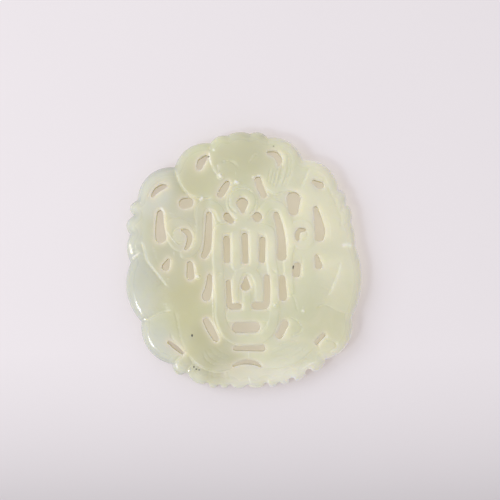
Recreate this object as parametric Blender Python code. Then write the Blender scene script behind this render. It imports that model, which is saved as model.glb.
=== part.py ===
"""Openwork jade plaque, carved from one slab.

A bat with curled wings spans the top. Below it a rounded frame holds three
bars, a small arch and a tray; a ring sits on top of the frame, and a hooked
strand and a scroll stand on each side. Leaves and peaches fill the flanks,
and a frilled hem closes the bottom. Everything between the strands is pierced
right through; the back is flat, polished, with eased edges.

The plaque lies on its back: +Z is the carved face, +Y the bat's end. The
origin is under the middle of its outline, on the surface it lies on.

The design is set out on a sheet whose steps are 1/1280 of the plaque's
height, x to the right and y down, as a carver would pin a drawing on the
slab. Depths and radii of the carving are in millimetres.
"""
import math

import bmesh
import bpy
import numpy as np
from mathutils import Vector
from mathutils.geometry import delaunay_2d_cdt

# ------------------------------------------------------------- driving sizes
HEIGHT = 60.0              # mm, crown to hem
THICKNESS = 6.0            # mm, back to the highest carving
STEPS_HIGH = 1280.5        # sheet steps from crown to hem
SHEET_MIDDLE = (672.5, 702.0)

RIM_LEVEL = 4.45           # mm, face level at the very edge, before rounding
CROWN_RISE = 0.90          # mm, how much the face swells towards the middle
CROWN_REACH = 6.0          # mm, over which it swells
CROWN_BLEND = 1.6          # mm, how far the swell runs smoothly past the lobes
OUTER_ROUND = (1.90, 1.30)  # mm, width and drop of the rounded outer edge
LOBE_ROUND = (0.45, 0.22)   # mm, width and drop of the rounding round each lobe of the rim
RIM_BLEND = 0.60           # mm, how far the rim's rounding runs smoothly past the lobes
HEM_BLEND = 1.60           # mm, the same along the hem, whose lobes are only filed into the edge
HEM_LEVEL = -22.0          # mm, height on the sheet where the hem begins
SLOT_ROUND = (0.45, 0.28)   # mm, width and drop of the rounded slot edges
EDGE_RING = 0.45           # mm, second ring of each edge, and the back's easing
STRAND_SHOULDER = 0.34     # mm, width of a raised strand's rounded shoulder
SOFTEN = 0.12              # mm, polishing of every arris

CELL = 0.10                # mm, cell of the working height sheet
FACET_ERROR = 0.100        # mm, largest gap between facets and the true face
COARSE_SPACING = 2.4       # mm, spacing of the first points on open ground
CLOSEST_POINTS = 0.55      # mm

# --------------------------------------------------------------- the outline
# each entry is a notch and the bulge of the lobe that runs from it, clockwise,
# to the next notch
OUTLINE = [
    (507, 117, 16), (589, 80, 15), (705, 71, 18),            # crown
    (788, 89, 40), (967, 200, 51),                           # right wing, shoulder
    (1145, 354, 3), (1173, 362, 8), (1179, 426, 3), (1203, 440, 8),
    (1208, 511, 8),                                          # right frill
    (1230, 632, 41), (1211, 988, 55),                        # right leaf, peach
    (1076, 1197, 8), (1058, 1240, 14), (1003, 1247, 8), (966, 1287, 7),
    (928, 1303, 2), (914, 1288, 21), (850, 1311, 20),
    (786, 1316, 18), (692, 1326, 16), (605, 1325, 14), (550, 1327, 16),
    (487, 1318, 20), (396, 1273, 1), (366, 1274, 21),        # hem and knob
    (320, 1222, 55), (162, 1009, 47),                        # left peach, leaf
    (108, 713, 19), (106, 571, 2), (92, 556, 6), (92, 505, 1),
    (125, 477, 3), (106, 455, 5), (109, 424, 2),             # left frill
    (142, 402, 56), (327, 238, 42),                          # left shoulder, wing
]
# round nicks filed between the lobes of the hem: centre and radius
NICKS = [
    (381, 1283, 17), (487, 1326, 13), (550, 1335, 12), (606, 1336, 13), (692, 1338, 14),
    (785, 1329, 15), (850, 1323, 12), (913, 1302, 15), (998, 1262, 18),
]

# ------------------------------------------------------------- the piercings
# each one is a saw cut that follows a short line, with a half width at each
# point of the line
OPENINGS = {
    "wing_left": ([(484, 188), (462, 211), (451, 238)], [10, 19, 15]),
    "wing_right": ([(797, 168), (830, 176), (849, 204), (848, 226)], [9, 16, 16, 8]),
    "shoulder_left": ([(219, 380), (238, 354), (264, 338), (284, 334)], [9, 14, 14, 8]),
    "shoulder_right": ([(1024, 314), (1054, 329)], [12, 18]),
    "eye_left": ([(376, 420), (396, 417)], [27, 26]),
    "eye_right": ([(921, 398), (921, 456)], [35, 24]),
    "ear_left": ([(590, 322), (575, 346), (557, 376)], [14, 18, 16]),
    "ear_right": ([(744, 302), (754, 336), (774, 380)], [16, 18, 14]),
    "bead_left": ([(589, 484), (609, 507)], [17, 15]),
    "bead_right": ([(740, 487), (741, 488)], [23, 23]),
    "ring": ([(666, 421), (668, 461)], [29, 9]),
    "long_left": ([(255, 470), (254, 530), (259, 588)], [16, 22, 28]),
    "long_right": ([(1031, 446), (1043, 500), (1053, 556), (1050, 588)], [12, 20, 26, 22]),
    "curl_left": ([(368, 554), (391, 562), (404, 590), (397, 622), (385, 645)], [8, 13, 14, 12, 8]),
    "curl_right": ([(973, 552), (950, 555), (938, 577), (941, 598)], [8, 11, 12, 9]),
    "drop_left": ([(297, 704), (284, 735)], [9, 20]),
    "drop_right": ([(1036, 684), (1045, 728)], [9, 19]),
    "oval_left": ([(405, 724), (408, 782)], [15, 20]),
    "oval_right": ([(940, 730), (934, 768)], [16, 20]),
    "slit_left": ([(500, 476), (498, 560), (491, 640), (475, 680)], [14, 18, 19, 15]),
    "slit_right": ([(834, 478), (851, 535), (861, 600), (862, 682)], [15, 17, 20, 23]),
    "gap_left": ([(504, 784), (499, 838), (487, 884)], [12, 17, 22]),
    "gap_right": ([(864, 795), (868, 885)], [16, 20]),
    "foot_left": ([(487, 1006), (508, 1046), (534, 1094)], [16, 19, 15]),
    "foot_right": ([(877, 1019), (850, 1076)], [18, 17]),
    "bar_left": ([(588, 598), (590, 702)], [16, 16]),
    "bar_middle": ([(678, 582), (682, 706)], [15, 15]),
    "bar_right": ([(766, 602), (764, 702)], [15, 15]),
    "elbow_left": ([(596, 812), (600, 880), (606, 930), (648, 932)], [11, 12, 14, 15]),
    "elbow_right": ([(787, 789), (789, 870), (780, 925), (732, 930)], [15, 15, 17, 18]),
    "seed": ([(684, 790), (682, 832)], [5, 23]),
    "tray": ([(641, 1038), (727, 1036)], [26, 26]),
    "sill": ([(631, 1142), (766, 1141)], [11, 15]),
    "peach_left": ([(300, 1112), (334, 1136), (366, 1164)], [8, 12, 8]),
    "peach_right": ([(1069, 1076), (1034, 1113)], [10, 10]),
    "arch": ([(622, 1228), (656, 1214), (695, 1209), (735, 1217), (755, 1230)], [5, 9, 12, 10, 5]),
}

# ---------------------------------------------------------------- the relief
# raised strands: line, half width in steps, height in mm
STRANDS = {
    "frame": ([(668, 518), (600, 541), (556, 552), (543, 590), (543, 700), (550, 800), (556, 900),
               (558, 985), (588, 1060), (640, 1096), (700, 1101), (758, 1092), (802, 1052), (822, 990),
               (827, 890), (822, 780), (810, 700), (806, 600), (796, 556), (740, 540), (668, 518)], 27, 0.26),
    "left_bar": ([(640, 520), (634, 560), (635, 650), (637, 730)], 26, 0.23),
    "right_bar": ([(706, 520), (722, 560), (722, 650), (724, 730)], 25, 0.23),
    "arch_left": ([(686, 742), (655, 760), (636, 800), (628, 850), (628, 895)], 21, 0.23),
    "arch_right": ([(686, 742), (720, 762), (742, 800), (750, 850), (748, 890)], 22, 0.23),
    "post": ([(689, 860), (689, 985)], 22, 0.23),
    "sole": ([(612, 980), (800, 980)], 28, 0.23),
    "ring": ([(668, 490), (622, 448), (612, 408), (630, 372), (666, 358), (700, 372), (718, 408),
              (710, 448), (668, 490)], 27, 0.28),
    "hook_left": ([(566, 492), (545, 448), (508, 424), (470, 432), (449, 475), (448, 560), (440, 622),
                   (412, 662), (380, 672)], 24, 0.23),
    "hook_right": ([(764, 470), (790, 434), (826, 424), (862, 446), (888, 500), (902, 560), (908, 620),
                    (893, 690), (897, 800), (900, 860)], 24, 0.23),
    "scroll_left": ([(345, 560), (365, 590)], 70, 0.21),
    "scroll_right": ([(962, 560), (968, 585)], 62, 0.21),
}

# gentle swells: centre, half widths across and up in steps, height in mm
SWELLS = {
    "bat_back": ((662, 165), (135, 80), 0.30),
    "leaf_left": ((180, 820), (60, 130), 0.15),
    "leaf_right": ((1165, 820), (60, 130), 0.15),
}

# overlapping forms: line, depth and reach in mm; the ground on the right-hand
# side of the walk is sunk and climbs back over the reach
OVERLAPS = {
    "wing_left": ([(327, 238), (345, 295), (366, 338), (397, 372), (432, 388), (472, 391), (522, 386)], 0.46, 1.6),
    "wing_right": ([(778, 330), (795, 356), (828, 371), (862, 362), (900, 357), (950, 356)], 0.37, 1.6),
    "wing_right_edge": ([(1002, 239), (978, 300), (950, 356)], 0.18, 1.2),
    "body_left": ([(497, 160), (512, 225), (532, 262), (554, 284)], 0.34, 1.3),
    "leaf_left": ([(166, 600), (178, 656), (192, 705), (236, 763), (300, 842)], 0.28, 2.2),
    "leaf_right": ([(1158, 700), (1142, 768), (1113, 840), (1085, 895)], 0.24, 2.0),
    "peach_left": ([(316, 958), (266, 964), (228, 981), (196, 998), (160, 1005)], 0.37, 1.4),
    "peach_right": ([(1027, 951), (1050, 928), (1078, 921), (1105, 930), (1138, 950), (1175, 962),
                     (1209, 985)], 0.22, 1.2),
    "hem_left": ([(391, 1161), (425, 1208), (476, 1240), (540, 1256), (600, 1246), (626, 1234)], 0.34, 4.0),
    "hem_right": ([(752, 1236), (800, 1240), (860, 1237), (930, 1215), (985, 1175), (1038, 1120)], 0.25, 4.0),
}

# valleys between lobes: line, half width and depth in mm
VALLEYS = {
    "crown_d": ([(507, 117), (500, 160)], 0.45, 0.15),
    "frill_left_a": ([(125, 477), (150, 470)], 0.45, 0.12),
    "frill_left_b": ([(106, 571), (140, 556)], 0.45, 0.12),
    "frill_left_c": ([(108, 713), (160, 665)], 0.45, 0.20),
    "knob_a": ([(320, 1222), (391, 1161)], 0.50, 0.20),
    "knob_b": ([(381, 1268), (425, 1208)], 0.50, 0.18),
    "peach_side": ([(326, 956), (344, 1022), (356, 1088), (391, 1161)], 0.45, 0.12),
    "tail": ([(1076, 1197), (1040, 1165)], 0.45, 0.15),
}


def step_size():
    return HEIGHT / STEPS_HIGH


def to_mm(points):
    """sheet steps to millimetres on the slab, x right and y up from the middle"""
    p = np.asarray(points, float)
    return np.stack([(p[:, 0] - SHEET_MIDDLE[0]) * step_size(),
                     (SHEET_MIDDLE[1] - p[:, 1]) * step_size()], axis=1)


def lobe(start, end, bulge, count):
    """points on the circular arc from start to end (end left out) that bulges outwards"""
    cx, cy = (start[0] + end[0]) / 2, (start[1] + end[1]) / 2
    chord = math.hypot(end[0] - start[0], end[1] - start[1])
    nx, ny = (end[1] - start[1]) / chord, -(end[0] - start[0]) / chord
    radius = chord * chord / (8 * bulge) + bulge / 2
    ox, oy = cx - nx * (radius - bulge), cy - ny * (radius - bulge)
    first = math.atan2(start[1] - oy, start[0] - ox)
    last = math.atan2(end[1] - oy, end[0] - ox)
    sweep = (last - first) % (2 * math.pi)
    return [(ox + radius * math.cos(first + sweep * k / count),
             oy + radius * math.sin(first + sweep * k / count)) for k in range(count)]


def outline():
    """the plaque's closed outline, in millimetres"""
    points = []
    for k, (x, y, bulge) in enumerate(OUTLINE):
        nx, ny, _ = OUTLINE[(k + 1) % len(OUTLINE)]
        points += lobe((x, y), (nx, ny), bulge, 12)
    return to_mm(points)


def flowing(points, widths, per=7):
    """a smooth curve through the points of a line, with its half width, in millimetres"""
    p = np.array(points, float)
    r = np.array(widths, float)
    if len(p) > 2:
        a = np.vstack([2 * p[0] - p[1], p, 2 * p[-1] - p[-2]])
        ra = np.concatenate([[r[0]], r, [r[-1]]])
        q, s = [], []
        for i in range(1, len(a) - 2):
            for k in range(per):
                t = k / per
                w = (-0.5 * t + t * t - 0.5 * t ** 3, 1 - 2.5 * t * t + 1.5 * t ** 3,
                     0.5 * t + 2 * t * t - 1.5 * t ** 3, -0.5 * t * t + 0.5 * t ** 3)
                q.append(sum(w[j] * a[i - 1 + j] for j in range(4)))
                s.append(ra[i] + (ra[i + 1] - ra[i]) * t)
        p = np.array(q + [p[-1]])
        r = np.array(s + [r[-1]])
    return to_mm(p), r * step_size()


def ease(t):
    t = np.clip(t, 0, 1)
    return t * t * (3 - 2 * t)


def along(X, Y, line, width=None):
    """distance to a line less its half width, side (+1 right of the walk), place along it in mm, length"""
    best = np.full(X.shape, 1e9)
    side = np.zeros(X.shape)
    place = np.zeros(X.shape)
    run = 0.0
    for i in range(len(line) - 1):
        ax, ay = line[i]
        dx, dy = line[i + 1] - line[i]
        length = math.hypot(dx, dy) + 1e-9
        t = np.clip(((X - ax) * dx + (Y - ay) * dy) / length ** 2, 0, 1)
        d = np.hypot(X - ax - t * dx, Y - ay - t * dy)
        if width is not None:
            d = d - (width[i] + (width[i + 1] - width[i]) * t)
        near = d < best
        best = np.where(near, d, best)
        side = np.where(near, np.sign(dy * (X - ax) - dx * (Y - ay)), side)
        place = np.where(near, run + t * length, place)
        run += length
    return best, side, place, run


class Slab:
    """the working sheet: distances to the edges and the height of the face, cell by cell"""

    def __init__(self):
        edge = outline()
        low, high = edge.min(axis=0) - 1.0, edge.max(axis=0) + 1.0
        self.x = np.arange(low[0], high[0] + CELL, CELL)
        self.y = np.arange(low[1], high[1] + CELL, CELL)
        self.X, self.Y = np.meshgrid(self.x, self.y)
        self.to_outline = self.outline_distance(edge)
        low_down = ease((HEM_LEVEL - self.Y) / 4.0)
        self.to_rim = (self.brushed(self.to_outline, RIM_BLEND) * (1 - low_down)
                       + self.brushed(self.to_outline, HEM_BLEND) * low_down)
        for x, y, radius in NICKS:
            c = to_mm([(x, y)])[0]
            away = np.hypot(self.X - c[0], self.Y - c[1]) - radius * step_size()
            self.to_outline = np.minimum(self.to_outline, away)
        self.to_slot = np.full(self.X.shape, 9.0)
        for line, widths in OPENINGS.values():
            p, r = flowing(line, widths)
            w = self.window(p, 4.0)
            self.to_slot[w] = np.minimum(self.to_slot[w], along(self.X[w], self.Y[w], p, r)[0])
        self.inside = np.minimum(self.to_outline, self.to_slot)
        self.face = self.rounded(self.brushed(self.relief(), SOFTEN))

    def window(self, p, reach):
        i = np.searchsorted(self.x, [p[:, 0].min() - reach, p[:, 0].max() + reach])
        j = np.searchsorted(self.y, [p[:, 1].min() - reach, p[:, 1].max() + reach])
        return slice(j[0], j[1] + 1), slice(i[0], i[1] + 1)

    def outline_distance(self, edge):
        """distance to the outline, positive inside"""
        best = np.full(self.X.shape, 1e9)
        inside = np.zeros(self.X.shape, bool)
        for (ax, ay), (bx, by) in zip(edge, np.roll(edge, -1, axis=0)):
            dx, dy = bx - ax, by - ay
            t = np.clip(((self.X - ax) * dx + (self.Y - ay) * dy) / (dx * dx + dy * dy), 0, 1)
            best = np.minimum(best, (self.X - ax - t * dx) ** 2 + (self.Y - ay - t * dy) ** 2)
            if abs(dy) > 1e-12:
                inside ^= ((self.Y < ay) != (self.Y < by)) & (self.X < ax + (self.Y - ay) * dx / dy)
        return np.sqrt(best) * np.where(inside, 1.0, -1.0)

    def relief(self):
        """the face before its edges are rounded"""
        inland = np.maximum(self.brushed(self.to_outline, CROWN_BLEND), 0)
        swell = 1 - np.exp(-(inland / CROWN_REACH) ** 1.25)
        Z = RIM_LEVEL + CROWN_RISE * swell
        raised = np.zeros(Z.shape)
        for line, half, rise in STRANDS.values():
            p, r = flowing(line, [half] * len(line))
            w = self.window(p, half * step_size() + 0.5)
            d = along(self.X[w], self.Y[w], p, r)[0]
            raised[w] = np.maximum(raised[w], rise * ease(-d / STRAND_SHOULDER))
        Z += raised
        for centre, (across, up), rise in SWELLS.values():
            c = to_mm([centre])[0]
            u, v = (self.X - c[0]) / (across * step_size()), (self.Y - c[1]) / (up * step_size())
            Z += rise * np.exp(-(u * u + v * v) ** 1.5)
        for line, depth, reach in OVERLAPS.values():
            p, _ = flowing(line, [0] * len(line))
            w = self.window(p, 3 * reach)
            d, side, place, length = along(self.X[w], self.Y[w], p)
            fade = 1.0 + 0.6 * reach
            ends = np.minimum(ease(place / fade), ease((length - place) / fade))
            s = d * side
            Z[w] -= depth * ends * np.exp(-np.maximum(s, 0) / reach) * ease((s + 0.14) / 0.28)
        for line, half, depth in VALLEYS.values():
            p, _ = flowing(line, [0] * len(line))
            w = self.window(p, 3 * half)
            d = along(self.X[w], self.Y[w], p)[0]
            Z[w] -= depth * np.exp(-(d / half) ** 2)
        return Z

    def brushed(self, Z, sigma):
        """a small round brush over the whole sheet"""
        n = int(3 * sigma / CELL)
        brush = np.exp(-0.5 * (np.arange(-n, n + 1) * CELL / sigma) ** 2)
        brush /= brush.sum()
        P = np.pad(Z, n, mode="edge")
        rows = sum(b * P[:, k:k + Z.shape[1]] for k, b in enumerate(brush))
        return sum(b * rows[k:k + Z.shape[0], :] for k, b in enumerate(brush))

    def rounded(self, Z):
        """elliptical rounding of the rim, its lobes and every slot's edge, scaled to the full thickness"""
        for distance, (width, drop) in ((self.to_rim, OUTER_ROUND), (self.to_outline, LOBE_ROUND),
                                        (self.to_slot, SLOT_ROUND)):
            a = np.clip(1 - np.maximum(distance, 0) / width, 0, 1)
            Z = Z - drop * (1 - np.sqrt(1 - a * a))
        return Z * (THICKNESS / Z[self.inside > 0].max())

    def at(self, field, p):
        """a field's value at points, between the cells"""
        u = (p[:, 0] - self.x[0]) / CELL
        v = (p[:, 1] - self.y[0]) / CELL
        i = np.clip(u.astype(int), 0, len(self.x) - 2)
        j = np.clip(v.astype(int), 0, len(self.y) - 2)
        a, b = u - i, v - j
        return ((field[j, i] * (1 - a) + field[j, i + 1] * a) * (1 - b)
                + (field[j + 1, i] * (1 - a) + field[j + 1, i + 1] * a) * b)


def level_rings(slab, level):
    """closed rings where the inside distance equals the level, followed from cell to cell"""
    F = slab.inside - level
    F = np.where(np.abs(F) < 1e-9, 1e-9, F)
    up = F > 0
    point = {}

    def crossing(key):
        kind, j, i = key
        if key not in point:
            if kind == 0:
                t = F[j, i] / (F[j, i] - F[j, i + 1])
                point[key] = (slab.x[i] + t * CELL, slab.y[j])
            else:
                t = F[j, i] / (F[j, i] - F[j + 1, i])
                point[key] = (slab.x[i], slab.y[j] + t * CELL)
        return key

    follow = {}
    mixed = (up[:-1, :-1] != up[:-1, 1:]) | (up[:-1, :-1] != up[1:, :-1]) | (up[:-1, :-1] != up[1:, 1:])
    for j, i in np.argwhere(mixed):
        a, b, c, d = up[j, i], up[j, i + 1], up[j + 1, i + 1], up[j + 1, i]
        sides = [((0, j, i), a, b), ((1, j, i + 1), b, c), ((0, j + 1, i), c, d), ((1, j, i), d, a)]
        # walk round the cell: leave where jade turns to air, come in where air turns to jade
        out = [crossing(k) for k, p, q in sides if p and not q]
        back = [crossing(k) for k, p, q in sides if q and not p]
        if len(out) == 2:
            centre = (F[j, i] + F[j, i + 1] + F[j + 1, i] + F[j + 1, i + 1]) > 0
            order = [s[0] for s in sides]
            turn = 1 if centre else -1
            pairs = []
            for k in out:
                n = order.index(k)
                pairs.append((k, next(order[(n + turn * m) % 4] for m in (1, 2, 3)
                                      if order[(n + turn * m) % 4] in back)))
        else:
            pairs = [(out[0], back[0])]
        for p, q in pairs:
            follow[p] = q
    rings = []
    while follow:
        first = min(follow)
        ring = [first]
        nxt = follow.pop(first)
        while nxt != first:
            ring.append(nxt)
            nxt = follow.pop(nxt)
        if len(ring) > 12:
            rings.append(np.array([point[k] for k in ring]))
    return rings


def economical(ring, tolerance, longest):
    """fewest points that keep a ring within the tolerance, with no side longer than 'longest'"""
    n = len(ring)
    start = int(np.argmin(ring[:, 0] * 1000 + ring[:, 1]))
    ring = np.roll(ring, -start, axis=0)
    far = int(np.argmax(np.hypot(*(ring - ring[0]).T)))
    loop = np.vstack([ring, ring[:1]])
    keep = {0, far, n}
    spans = [(0, far), (far, n)]
    while spans:
        a, b = spans.pop()
        if b - a < 2:
            continue
        p, q = loop[a], loop[b]
        d = q - p
        length = math.hypot(*d) + 1e-12
        inner = loop[a + 1:b]
        off = np.abs(d[0] * (inner[:, 1] - p[1]) - d[1] * (inner[:, 0] - p[0])) / length
        worst = int(np.argmax(off))
        if off[worst] > tolerance:
            m = a + 1 + worst
        elif length > longest:
            m = (a + b) // 2
        else:
            continue
        keep.add(m)
        spans += [(a, m), (m, b)]
    kept = sorted(keep)[:-1]
    return loop[kept]


def triangulate(points, edge_rings, inner_rings):
    """plan triangles over the jade: its edge rings bound it, inner rings and loose points fill it"""
    rings = edge_rings + inner_rings
    coords = [Vector((float(x), float(y))) for ring in rings for x, y in ring]
    edges = []
    base = 0
    for ring in rings:
        n = len(ring)
        edges += [(base + k, base + (k + 1) % n) for k in range(n)]
        base += n
    coords += [Vector((float(x), float(y))) for x, y in points]
    verts, _, faces, _, _, _ = delaunay_2d_cdt(coords, edges, [], 0, 1e-7)
    xy = np.array([(v.x, v.y) for v in verts])
    tri = np.array([tuple(f) for f in faces])
    return xy, tri[between(xy[tri].mean(axis=1), edge_rings)]


def between(p, rings):
    """which points lie in the jade: inside the outline and in no opening"""
    inside = np.zeros(len(p), bool)
    for ring in rings:
        for (ax, ay), (bx, by) in zip(ring, np.roll(ring, -1, axis=0)):
            if ay != by:
                crossed = (p[:, 1] < ay) != (p[:, 1] < by)
                inside ^= crossed & (p[:, 0] < ax + (p[:, 1] - ay) * (bx - ax) / (by - ay))
    return inside


def facet_gap(slab, xy, z, faces):
    """true face less the facets, at every cell under them"""
    gap = np.zeros(slab.X.shape)
    tri = np.array(faces)
    for a, b, c in tri:
        p = xy[[a, b, c]]
        i0, i1 = np.searchsorted(slab.x, [p[:, 0].min(), p[:, 0].max()])
        j0, j1 = np.searchsorted(slab.y, [p[:, 1].min(), p[:, 1].max()])
        if i1 <= i0 or j1 <= j0:
            continue
        X, Y = slab.X[j0:j1, i0:i1], slab.Y[j0:j1, i0:i1]
        (ax, ay), (bx, by), (cx, cy) = p
        det = (by - cy) * (ax - cx) + (cx - bx) * (ay - cy)
        if abs(det) < 1e-9:
            continue
        u = ((by - cy) * (X - cx) + (cx - bx) * (Y - cy)) / det
        v = ((cy - ay) * (X - cx) + (ax - cx) * (Y - cy)) / det
        w = 1 - u - v
        hit = (u >= 0) & (v >= 0) & (w >= 0)
        flat = u * z[a] + v * z[b] + w * z[c]
        block = gap[j0:j1, i0:i1]
        block[hit] = (slab.face[j0:j1, i0:i1] - flat)[hit]
    return gap


def face_points(slab, edge_rings, inner_rings):
    """points of the carved face: an open lattice, then one more wherever the facets stray too far"""
    clear = slab.inside > EDGE_RING + 0.30
    points = []
    row = 0
    y = slab.y[0]
    while y < slab.y[-1]:
        x = slab.x[0] + (row % 2) * COARSE_SPACING / 2
        while x < slab.x[-1]:
            points.append((x, y))
            x += COARSE_SPACING
        y += COARSE_SPACING * math.sqrt(3) / 2
        row += 1
    points = np.array(points)
    points = points[slab.at(slab.inside, points) > EDGE_RING + 0.5]
    for _ in range(7):
        xy, faces = triangulate(points, edge_rings, inner_rings)
        z = slab.at(slab.face, xy)
        gap = np.abs(facet_gap(slab, xy, z, faces)) * clear
        worst = np.argwhere(gap > FACET_ERROR)
        if not len(worst):
            break
        worst = worst[np.argsort(-gap[worst[:, 0], worst[:, 1]], kind="stable")]
        taken = np.zeros(slab.X.shape, bool)
        reach = int(CLOSEST_POINTS / CELL)
        for x, y in points:
            j, i = int((y - slab.y[0]) / CELL), int((x - slab.x[0]) / CELL)
            taken[max(0, j - reach):j + reach + 1, max(0, i - reach):i + reach + 1] = True
        new = []
        wide = 2 * reach
        for j, i in worst:
            if not taken[j, i]:
                new.append((slab.x[i] + 0.013, slab.y[j] + 0.007))
                taken[max(0, j - wide):j + wide + 1, max(0, i - wide):i + wide + 1] = True
        if not new:
            break
        points = np.vstack([points, new])
    return points


def jade_material():
    m = bpy.data.materials.new("jade")
    m.use_nodes = True
    shader = m.node_tree.nodes["Principled BSDF"]
    shader.inputs["Base Color"].default_value = (0.60, 0.62, 0.42, 1)
    shader.inputs["Roughness"].default_value = 0.28
    shader.inputs["Metallic"].default_value = 0.0
    m.diffuse_color = (0.60, 0.62, 0.42, 1)
    return m


def carve_plaque():
    slab = Slab()
    edge_rings = [economical(r, 0.040, 1.8) for r in level_rings(slab, 0.0)]
    inner_rings = [economical(r, 0.055, 2.0) for r in level_rings(slab, EDGE_RING)]
    points = face_points(slab, edge_rings, inner_rings)

    front_xy, front_faces = triangulate(points, edge_rings, inner_rings)
    back_xy, back_faces = triangulate(np.zeros((0, 2)), edge_rings, inner_rings)
    front_z = slab.at(slab.face, front_xy)
    edge_count = sum(len(r) for r in edge_rings)

    bm = bmesh.new()
    mm = 0.001
    front = [bm.verts.new((x * mm, y * mm, z * mm)) for (x, y), z in zip(front_xy, front_z)]
    back = [bm.verts.new((x * mm, y * mm, (EDGE_RING if k < edge_count else 0.0) * mm))
            for k, (x, y) in enumerate(back_xy)]
    for a, b, c in front_faces:
        bm.faces.new((front[a], front[b], front[c]))
    for a, b, c in back_faces:
        bm.faces.new((back[c], back[b], back[a]))
    base = 0
    for ring in edge_rings:
        n = len(ring)
        for k in range(n):
            a, b = base + k, base + (k + 1) % n
            bm.faces.new((front[a], back[a], back[b], front[b]))
        base += n
    bmesh.ops.recalc_face_normals(bm, faces=bm.faces)
    bmesh.ops.triangulate(bm, faces=bm.faces)

    # the outline's own box is centred on the origin
    low = [min(v.co[k] for v in bm.verts) for k in (0, 1)]
    high = [max(v.co[k] for v in bm.verts) for k in (0, 1)]
    shift = Vector((-(low[0] + high[0]) / 2, -(low[1] + high[1]) / 2, 0))
    bmesh.ops.translate(bm, verts=bm.verts, vec=shift)

    mesh = bpy.data.meshes.new("jade_plaque")
    bm.to_mesh(mesh)
    bm.free()
    mesh.materials.append(jade_material())
    mesh.shade_smooth()
    mesh.set_sharp_from_angle(angle=math.radians(40))
    plaque = bpy.data.objects.new("jade_plaque", mesh)
    bpy.context.collection.objects.link(plaque)
    return plaque


for obj in list(bpy.data.objects):
    bpy.data.objects.remove(obj, do_unlink=True)

carve_plaque()
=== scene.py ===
"""Looks of the openwork jade plaque: one finely carved mesh stands for the CAD solid.

The mesh is worked out here from the same setting-out sheet as the CAD model:
the outline's lobes, the piercings, the raised strands and the overlaps, and on
top of those the cut lines, striations and beads that the solid leaves out.
"""

import math

import bmesh
import bpy
import numpy as np
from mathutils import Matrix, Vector
from mathutils.geometry import delaunay_2d_cdt


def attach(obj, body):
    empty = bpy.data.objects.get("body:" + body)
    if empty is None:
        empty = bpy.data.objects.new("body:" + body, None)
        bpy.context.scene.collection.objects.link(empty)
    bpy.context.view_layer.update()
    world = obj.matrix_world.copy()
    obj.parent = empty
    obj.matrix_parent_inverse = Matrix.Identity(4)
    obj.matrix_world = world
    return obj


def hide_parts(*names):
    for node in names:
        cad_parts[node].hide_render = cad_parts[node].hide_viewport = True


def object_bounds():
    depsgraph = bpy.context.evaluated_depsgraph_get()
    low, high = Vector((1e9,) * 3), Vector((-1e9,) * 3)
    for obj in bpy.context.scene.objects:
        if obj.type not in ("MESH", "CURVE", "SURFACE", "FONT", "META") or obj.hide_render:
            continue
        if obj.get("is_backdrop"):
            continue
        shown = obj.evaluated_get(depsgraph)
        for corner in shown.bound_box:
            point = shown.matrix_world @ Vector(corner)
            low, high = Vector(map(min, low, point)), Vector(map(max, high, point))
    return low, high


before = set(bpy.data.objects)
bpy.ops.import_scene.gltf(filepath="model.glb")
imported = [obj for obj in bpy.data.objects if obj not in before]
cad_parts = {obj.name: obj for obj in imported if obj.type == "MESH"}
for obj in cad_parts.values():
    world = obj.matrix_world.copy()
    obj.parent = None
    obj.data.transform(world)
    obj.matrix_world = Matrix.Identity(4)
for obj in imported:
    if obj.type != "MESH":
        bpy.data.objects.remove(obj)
CAD_LOW, CAD_HIGH = (tuple(v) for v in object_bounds())

# ------------------------------------------------------------- driving sizes
HEIGHT = 60.0              # mm, crown to hem
THICKNESS = 6.0            # mm, back to the highest carving
STEPS_HIGH = 1280.5        # sheet steps from crown to hem
SHEET_MIDDLE = (672.5, 702.0)
STEP = HEIGHT / STEPS_HIGH

CELL = 0.09                # mm, cell of the working height sheet
FINE, OPEN = 0.19, 0.40    # mm, point spacing on carved and on open ground
RING_SPACING = 0.24        # mm, along the edges

RIM_LEVEL = 4.45           # mm, face level at the very edge, before rounding
CROWN_RISE = 0.90          # mm, how much the face swells towards the middle
CROWN_REACH = 6.0          # mm, over which it swells
CROWN_BLEND = 1.6          # mm, how far the swell runs smoothly past the lobes
OUTER_ROUND = (1.90, 1.30)  # mm, width and drop of the rounded outer edge
LOBE_ROUND = (0.40, 0.20)   # mm, width and drop of the rounding round each lobe of the rim
RIM_BLEND = 0.60           # mm, how far the rim's rounding runs smoothly past the lobes
HEM_BLEND = 1.60           # mm, the same along the hem, whose lobes are only filed into the edge
HEM_LEVEL = -22.0          # mm, height on the sheet where the hem begins
SLOT_ROUND = (0.26, 0.10)   # mm, width and drop of the rounded slot edges
BACK_EASE = (0.18, 0.18)    # mm, width and height of the back's eased edges
STRAND_SHOULDER = 0.28     # mm, width of a raised strand's rounded shoulder
SOFTEN = 0.075             # mm, polishing of every arris

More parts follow.
